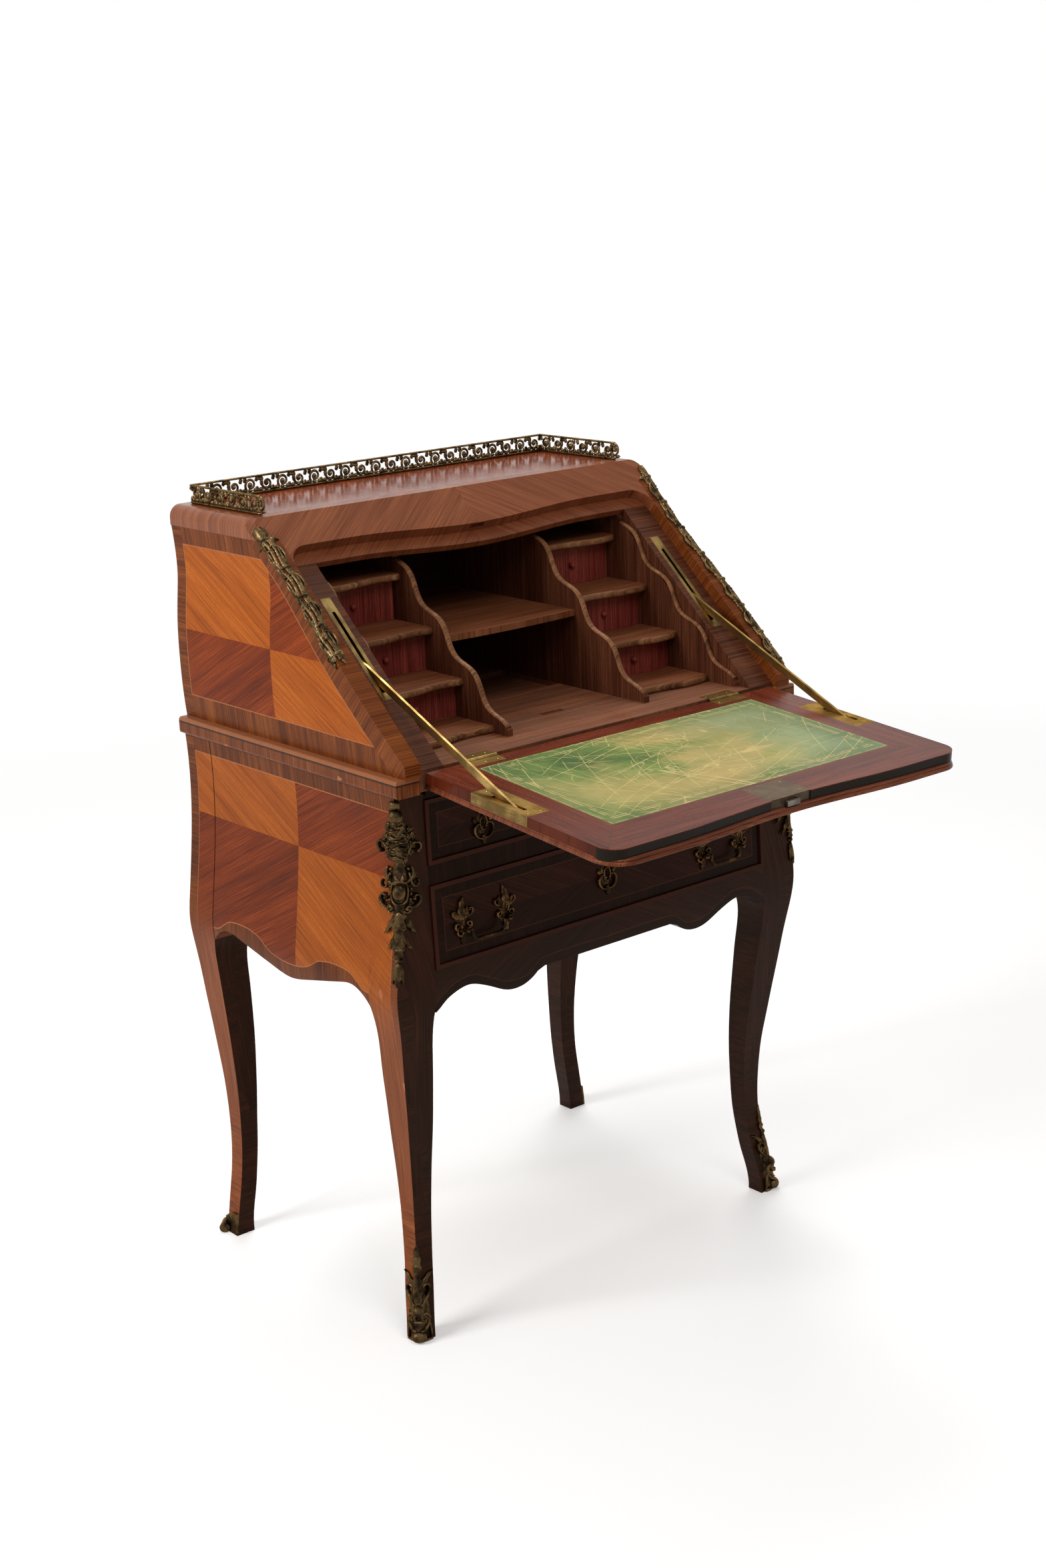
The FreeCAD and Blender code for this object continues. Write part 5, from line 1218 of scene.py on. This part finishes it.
# A point of the upper side's curve is (share of the rise, share of the top's half width).
UPPER_SHARES = [(0.0, 0.9935), (0.158, 1.0033), (0.303, 1.0065), (0.506, 1.0033),
                (0.639, 0.9935), (0.747, 0.9855), (0.867, 0.987), (1.0, 0.9967)]
upper_curve = smooth_through(*zip(*UPPER_SHARES))
REEDS = ((-5.5, 1.5, 2.6), (-1.0, 1.9, 3.4), (3.6, 1.9, 3.4), (8.0, 1.5, 2.6))
BINDING_PITCH = 50.0
BINDING_LEAVES = ((2.0, -1.0, 64, 22, 0.16, 3.4, 4.6, 0.6),
                  (2.0, 1.0, -60, 17, -0.16, 3.0, 4.4, 0.6))
LOOPS = ((7.0, 7.0, 52, 40, (0.1, 0.35, 0.5, 2.2), 1.6, 3.6, 0.2, 2.0),
         (-5.0, 9.0, 118, 30, (-0.1, -0.35, -1.9), 1.4, 3.2, 0.2, 1.7))
HEAD_LEAVES = ((3.0, -28.0, 54, 17, -0.4, 3.4, 4.6),)
FOOT_SCROLLS = ((1.0, 6.0, -50, 22, (0.4, 1.8), 1.5, 3.4, 0.2, 1.7),)


def slope_edge(sign):
    """Surface round the outer edge of the slope: up is the distance from the hinge line."""
    def place(u, v, h):
        """Point round the edge, the same fold as a leg's corner but leant back."""
        out = FOLD + h
        angle = np.pi / 4.0 + np.clip(u, -ARC, ARC) / FOLD
        over = SLOPE_OUTER - FOLD + out * np.sin(angle) - np.maximum(-u - ARC, 0.0)
        z = HINGE_Z_MM + v * math.sin(SLOPE) + over * math.cos(SLOPE)
        y = HINGE_Y_MM + v * math.cos(SLOPE) - over * math.sin(SLOPE)
        half = TOP_HALF * upper_curve((z - UPPER_FOOT) / UPPER_RISE)
        x = half - FOLD + out * np.cos(angle) - np.maximum(u - ARC, 0.0)
        return on_desk(sign * x, y, z)
    return place


def slope_mount(name, sign, low, high):
    """Reeds from low to high with a binding every fifty millimetres or so."""
    cast = Casting(slope_edge(sign))
    run = np.linspace(low, high - 14.0, 40)
    for across, half, crest in REEDS:
        sway = across + 1.2 * np.sin(2.0 * np.pi * (run - low) / 52.0)
        cast.strip(np.stack((sway, run), axis=-1), half, crest)
    count = round((high - low) / BINDING_PITCH)
    step = (high - low - 30.0) / count
    for i in range(count + 1):
        v = low + 8.0 + step * i
        cast.boss(1.0, v, 8.6, 2.6, 4.8)
        mirrored(cast, leaves=BINDING_LEAVES, middle=(1.0, v))
        if i < count:
            mirrored(cast, LOOPS, middle=(0.0, v), sides=((1, 1.0),))
    add_leaf(cast, (0.5, high - 26.0), 90, 25, 0.0, 6.0, 5.0, 0.6)
    mirrored(cast, leaves=HEAD_LEAVES, middle=(1.0, high))
    mirrored(cast, FOOT_SCROLLS, middle=(1.0, low))
    return cast.make(name, bronze, "gilt_bronze", "case")


slope_mount("slope_mount_left", -1.0, 160.0, 366.0)
slope_right = slope_mount("slope_mount_right", 1.0, 18.0, 366.0)
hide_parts("slope_mounts")

# %% [markdown]
# The handles hang from pairs of leafy rosettes, and every lock has an escutcheon of C-scrolls.
# All of them lie on the front's own curve.

# %% Rosettes and escutcheons
FIELD_RECESS = 1.1
HANDLE_X = 193.0
POST_HALF = 31.5
ROSETTE_Z = 523.0
POST_DROP = -10.0
ROSETTE_LEAVES = ((0, 0, 76, 30, 0.18, 5.4, 5.0, 1.0), (2, 2, 24, 17, 0.28, 3.6, 4.4, 0.8),
                  (-2, 2, 140, 17, -0.3, 3.8, 4.4, 0.8), (0, -12, -90, 16, 0.1, 3.6, 4.2, 0.8))
ROSETTE_SCROLLS = ((2, -8, -40, 26, (0.3, 1.9), 1.8, 4.0, 0.6, 2.2),
                   (3, 4, 20, 22, (-0.2, 0.4, 2.0), 1.6, 4.0, 0.6, 2.0))
PLATE_SCROLLS = ((3, 17, 30, 36, (0.5, 0.2, 0.9), 1.8, 4.2, 0.6, 2.1),
                 (2, -17, -20, 34, (0.6, 0.5, 1.3), 1.8, 4.2, 0.6, 2.1))
PLATE_LEAVES = ((3, 12, 56, 15, 0.3, 3.2, 4.2, 0.8), (9, 2, 20, 9, 0.4, 2.6, 3.6, 0.6, 2.0, 10))
LOCKS = {"long_drawer": (0.0, 526.5), "short_drawer_left": (-185.0, 632.0),
         "short_drawer_right": (185.0, 632.0)}
# Keyholes and screw slots are black shapes laid where a hole is: painted shade for its dark inside.
hole_shade = Finish("painted hole shade", roughness=0.9, specular=0.0)
hole_shade.shader.inputs["Base Color"].default_value = (*BLACKENED, 1.0)


def front_face(x0, z0):
    """Surface of the drawer fronts round a point: height points out of the drawer."""
    def place(u, v, h):
        """Point across and up from the middle, on the bombe front."""
        return on_desk(x0 + u, front_y(z0 + v) + FIELD_RECESS - h, z0 + v)
    return place


def rosette(cast, x0, side):
    """Leafy plate with a post; side is the way its tall leaf leans."""
    cast.surface = front_face(x0, ROSETTE_Z)
    cast.boss(0, -2, 8.0, 15.0, 2.4)
    cast.boss(0, POST_DROP, 5.4, 5.4, 5.0)
    cast.boss(0, POST_DROP, 3.5, 3.5, 14.5, sides=12)
    mirrored(cast, leaves=ROSETTE_LEAVES, sides=((side, 1.0),))
    add_scroll(cast, (side * 3, -4), 180 - side * 120, 26, (0.0, side * 0.9, side * 1.6), 1.8,
               4.0, 0.6, 2.2)
    mirrored(cast, ROSETTE_SCROLLS)


cast = Casting(None)
for middle in (-HANDLE_X, HANDLE_X):
    for side in (-1, 1):
        rosette(cast, middle + side * POST_HALF, side)


def escutcheon(cast, x0, z0):
    """C-scrolls round a keyhole, a shell of leaves over it and one leaf under it."""
    cast.surface = front_face(x0, z0)
    cast.boss(0, 0, 9.0, 15.0, 2.2)
    mirrored(cast, PLATE_SCROLLS, PLATE_LEAVES)
    add_leaf(cast, (0, 12), 90, 15, 0.0, 4.0, 4.8, 0.8)
    add_leaf(cast, (0, -13), -90, 13, 0.0, 3.4, 4.4, 0.8)
    cast.strip(ring(1.0, 5.2, 8.4, 20), 1.0, 2.2, 1.6)


escutcheon(cast, *LOCKS["long_drawer"])
cast.make("drawer_rosettes", handle_bronze, "gilt_bronze", "long_drawer", "long_drawer_mounts")
for body, spot in LOCKS.items():
    if body != "long_drawer":
        cast = Casting(None)
        escutcheon(cast, *spot)
        cast.make(body + "_escutcheon", handle_bronze, "gilt_bronze", body)
    # Each keyhole is a black boss and slot on its plate: painted shade for the hole.
    cast = Casting(front_face(*spot))
    cast.boss(0, 3.0, 2.0, 2.0, 0.9, 2.1, sides=12)
    cast.strip([(0, 2), (0, -1), (0, -5)], 0.9, 0.8, 2.2)
    cast.make(body + "_keyhole", hole_shade, "steel", body)

# %% [markdown]
# The fall has a rounded lip under its edge, and its plates and hinges have slotted screws. Both
# are drawn in the fall's own plane: across is X, up is the distance from the hinge.

# %% Lip moulding and screws
FALL_HALF = 274.5
FALL_LENGTH = 314.0
LIP_CORNER = 28.0
LIP_SIDE = 4.6
LIP_FRONT = 7.0
DIP = 10.0
DIP_HALF = 190.0
PLATE_SCREWS = ((258.0, 91.0), (267.0, 173.0), (249.0, 173.0))
HINGE_SCREWS = (177.0, 195.0, 213.0)
HINGE_ROW = 12.0
LOCK_SCREW_X = 24.0
LOCK_SCREWS = (264.0, 295.0)
SIDE_SCREWS = (95.0, 168.0)


def fall_plane(u, v, h):
    """Point across, away from the hinge and over the writing face."""
    y = HINGE_Y_MM - v * math.cos(DROOP) - h * math.sin(DROOP)
    z = HINGE_Z_MM - v * math.sin(DROOP) + h * math.cos(DROOP)
    return on_desk(u, y, z)


def fall_side(sign):
    """Surface of the fall's side edge: across is the reach, up is over the writing face."""
    def place(u, v, h):
        """Point on the edge, its height pointing away from the middle."""
        return fall_plane(sign * (FALL_HALF + h), u, v)
    return place


def floor_plane(u, v, h):
    """Point on the writing floor, up being the distance behind the hinge line."""
    return on_desk(u, HINGE_Y_MM + v, HINGE_Z_MM + 1.5 + h)


def lip_path():
    """Middle line of the lip: two sides, two rounded corners and a waved front, with widths."""
    side_x0 = FALL_HALF + 2.0 - LIP_SIDE
    front_v = FALL_LENGTH + 6.6 - LIP_FRONT
    up_side = np.stack((np.full(12, side_x0), np.linspace(3.0, front_v - LIP_CORNER, 12)), axis=-1)
    turn = np.linspace(0.0, np.pi / 2.0, 12)[1:]
    corner = np.stack((side_x0 - LIP_CORNER + LIP_CORNER * np.cos(turn),
                       front_v - LIP_CORNER + LIP_CORNER * np.sin(turn)), axis=-1)
    x = np.linspace(side_x0 - LIP_CORNER, 0.0, 32)[1:]
    bow = DIP * (0.5 + 0.5 * np.cos(np.pi * np.clip(x / DIP_HALF, 0.0, 1.0)))
    front = np.stack((x, front_v - bow), axis=-1)
    half_path = np.concatenate((up_side, corner, front))
    half_wide = np.concatenate((np.full(12, LIP_SIDE), np.linspace(LIP_SIDE, LIP_FRONT, 11),
                                np.full(31, LIP_FRONT)))
    path = np.concatenate((half_path, half_path[-2::-1] * (-1.0, 1.0)))
    return path, np.concatenate((half_wide, half_wide[-2::-1]))


cast = Casting(fall_plane, back=0.12)
path, wide = lip_path()
cast.strip(path, wide, 5.3, -18.0, sides=14)
cast.strip(path, wide * 0.72, 2.2, -13.4)
cast.make("fall_moulding", lip_wood, "lip_wood", "fall", "fall_lip")


def screw(heads, slots, u, v, turn, size=2.6):
    """Slotted head, sunk until it is nearly flush, and a dark line across it: painted shade in the
    slot.
    """
    heads.boss(u, v, size, size, 0.6, -0.42, sides=12, rings=4)
    reach = np.array((math.cos(turn), math.sin(turn))) * size * 0.8
    slots.strip(np.array((u, v)) + np.array(((-1,), (0,), (1,))) * reach, 0.34, 0.20, 0.05, sides=6)


heads, slots = Casting(fall_plane), Casting(fall_plane)
for sign in (-1.0, 1.0):
    for u, v in PLATE_SCREWS:
        screw(heads, slots, sign * u, v, 0.7 * u + v)
    for u in HINGE_SCREWS:
        screw(heads, slots, sign * u, HINGE_ROW, u, 2.0)
    for v in LOCK_SCREWS:
        screw(heads, slots, sign * LOCK_SCREW_X, v, v, 2.2)
    heads.surface = slots.surface = fall_side(sign)
    for u in SIDE_SCREWS:
        screw(heads, slots, u, -7.5, u + sign)
    heads.surface = slots.surface = fall_plane
heads.make("plate_screws", brass, "brass", "fall")
slots.make("plate_screw_slots", hole_shade, "steel", "fall")
heads, slots = Casting(floor_plane), Casting(floor_plane)
for sign in (-1.0, 1.0):
    for u in HINGE_SCREWS:
        screw(heads, slots, sign * u, HINGE_ROW, u * 2.0, 2.0)
heads.make("hinge_screws", brass, "brass", "case")
slots.make("hinge_screw_slots", hole_shade, "steel", "case")

# %% [markdown]
# Inside, the partitions and the step boards have worn, rounded front edges that catch the light.
# Each is a bead laid on the board's own waved edge.

# %% Rounded edges of the inner boards
edge_wood = plain_wood("worn edge wood", WORN, 0, 1, 12.0, 0.34)
STEP_TOPS = (887.0, 828.0, 773.0, 724.0)
STEP_FRONTS = (-204.0, -265.0, -320.0, -376.0)
STEP_WAVE = 4.5
STEP_HALF = 4.5
BAY = (114.2, 238.0)
PARTITION_TOP = (-195.0, 905.0)
PARTITION_FOOT = (-399.0, 718.0)
PARTITION_WAVE = 6.0
PARTITION_PITCH = 82.0
PARTITION_PHASE = 27.0
OUTER_SHIFT = 24.0
# A partition's edge is (X, half thickness, how far it stands ahead of the first).
PARTITIONS = ((109.7, 4.1, 0.0), (242.0, 3.6, OUTER_SHIFT))


def facing(u, v, h):
    """Upright plane that faces the front: height is the distance in front of the back."""
    return on_desk(u, -h, v)


def profile(u, v, h):
    """Upright plane that faces sideways: across is Y and height is X."""
    return on_desk(h, u, v)


cast = Casting(facing, back=0.2)
for sign in (-1.0, 1.0):
    for top, front in zip(STEP_TOPS, STEP_FRONTS):
        share = np.linspace(0.0, 1.0, 18)
        x = BAY[0] + (BAY[1] - BAY[0]) * share
        wave = front + STEP_WAVE * np.sin(2.0 * np.pi * share)
        path = np.stack((sign * x, np.full(18, top - STEP_HALF)), axis=-1)
        cast.strip(path, STEP_HALF, 2.6, -wave, sides=10, sharp=0.7)
cast.make("step_noses", edge_wood, "interior_wood", "case")

cast = Casting(profile, back=1.0)
run = np.array(PARTITION_FOOT) - np.array(PARTITION_TOP)
length = np.linalg.norm(run)
share = np.linspace(0.0, 0.985, 54)[:, None]
wave = PARTITION_WAVE * np.cos(2.0 * np.pi * (length * share - PARTITION_PHASE) / PARTITION_PITCH)
edge = np.array(PARTITION_TOP) + run * share + wave * np.array((run[1], -run[0])) / length
for sign in (-1.0, 1.0):
    for x, half, shift in PARTITIONS:
        cast.strip(edge - (shift, 0.0), 2.4, half, sign * x, sides=10)
cast.make("partition_edges", edge_wood, "interior_wood", "case")

# %% [markdown]
# The desk stands on a pale floor in front of a white studio wall of light. The floor is one plain
# sheet that runs past the camera's view, and the world behind it is white to the camera.

# %% Floor, world, lamps and camera
FLOOR_REACH = 30.0
NEAR_REACH, FAR_REACH = 1.3, 3.2
LIFT = 0.31
WORLD_LIGHT = 0.22
PAPER, BLACK, WHITE = (0.93, 0.92, 0.91), (0.0, 0.0, 0.0), (1.0, 1.0, 1.0)
SIGHT_RAYS = ("Is Camera Ray", "Is Glossy Ray", "Is Transmission Ray")

paper = Finish("pale floor", roughness=0.9, specular=0.1)
x, y, _ = paper.place()
away = (x * x + y * y).math("SQRT")
far = (away - NEAR_REACH) / (FAR_REACH - NEAR_REACH)
far = far.most(0.0).least(1.0)
light_path = paper.node("ShaderNodeLightPath").socket.node
eye = joined(Signal(paper, light_path.outputs[ray]) for ray in SIGHT_RAYS)
paper.feed(colour=paper.mix(far * eye, PAPER, BLACK),
           glow=paper.mix(eye * (far * (1.0 - LIFT) + LIFT), BLACK, WHITE))
paper.shader.inputs["Emission Strength"].default_value = 1.0
corners = np.array([(-1, -1, 0), (1, -1, 0), (1, 1, 0), (-1, 1, 0)], float) * FLOOR_REACH
floor = mesh_object("floor", corners, np.array([[0, 1, 2, 3]]), paper)

world = bpy.data.worlds.new("studio")
bpy.context.scene.world = world
world.use_nodes = True
tree = world.node_tree
tree.nodes.clear()
rays = tree.nodes.new("ShaderNodeLightPath")
seen = rays.outputs[SIGHT_RAYS[0]]
for ray in SIGHT_RAYS[1:]:
    either = tree.nodes.new("ShaderNodeMath")
    either.operation = "MAXIMUM"
    tree.links.new(seen, either.inputs[0])
    tree.links.new(rays.outputs[ray], either.inputs[1])
    seen = either.outputs[0]
strength = tree.nodes.new("ShaderNodeMapRange")
tree.links.new(seen, strength.inputs["Value"])
strength.inputs["To Min"].default_value = WORLD_LIGHT
strength.inputs["To Max"].default_value = 1.0
sky = tree.nodes.new("ShaderNodeBackground")
sky.inputs["Color"].default_value = (*WHITE, 1.0)
tree.links.new(strength.outputs[0], sky.inputs["Strength"])
out = tree.nodes.new("ShaderNodeOutputWorld")
tree.links.new(sky.outputs[0], out.inputs["Surface"])


# A lamp is (name, place, point it faces, size in metres, power in watts).
LAMPS = (("side softbox", (-3.2, 0.6, 2.4), (0.0, 0.1, 0.6), 1.6, 84.0),
         ("top softbox", (0.9, 1.3, 3.2), (0.0, 0.1, 0.6), 1.4, 46.0),
         ("front softbox", (-0.6, -1.9, 3.1), (0.0, -0.1, 0.8), 1.4, 30.0),
         ("front fill", (-0.6, -3.6, 1.8), (0.0, 0.0, 0.5), 2.4, 2.5))


def lamp(name, place, aim, size, power):
    """Square soft lamp that faces a point."""
    data = bpy.data.lights.new(name, "AREA")
    data.size = size
    data.energy = power
    made = bpy.data.objects.new(name, data)
    made.location = place
    direction = Vector(aim) - Vector(place)
    made.rotation_euler = direction.to_track_quat("-Z", "Y").to_euler()
    bpy.context.scene.collection.objects.link(made)


for row in LAMPS:
    lamp(*row)

# The camera that fits the photograph; its focal length is in pixels of the full frame.
AZIMUTH = math.radians(-39.2525)
ELEVATION = math.radians(15.6819)
ROLL = math.radians(-2.3081)
FOCAL_PIXELS = 3472.3
FRAME_HEIGHT = 2350.0
SENSOR = 36.0
CAMERA_PLACE = np.array([-1.77424, -2.08158, 1.39861])
back = np.array([math.sin(AZIMUTH) * math.cos(ELEVATION), -math.cos(AZIMUTH) * math.cos(ELEVATION),
                 math.sin(ELEVATION)])
level = np.cross(-back, (0.0, 0.0, 1.0))
level /= np.linalg.norm(level)
upright = np.cross(level, -back)
right = math.cos(ROLL) * level + math.sin(ROLL) * upright
up = math.cos(ROLL) * upright - math.sin(ROLL) * level
camera_data = bpy.data.cameras.new("camera")
camera_data.sensor_fit = "VERTICAL"
camera_data.sensor_height = SENSOR
camera_data.lens = SENSOR * FOCAL_PIXELS / FRAME_HEIGHT
camera = bpy.data.objects.new("camera", camera_data)
turn = Matrix((right, up, back)).transposed().to_4x4()
camera.matrix_world = Matrix.Translation(CAMERA_PLACE) @ turn
bpy.context.scene.collection.objects.link(camera)
bpy.context.scene.camera = camera
bpy.context.scene.view_settings.view_transform = "Standard"
print("camera lens", round(camera_data.lens, 2))
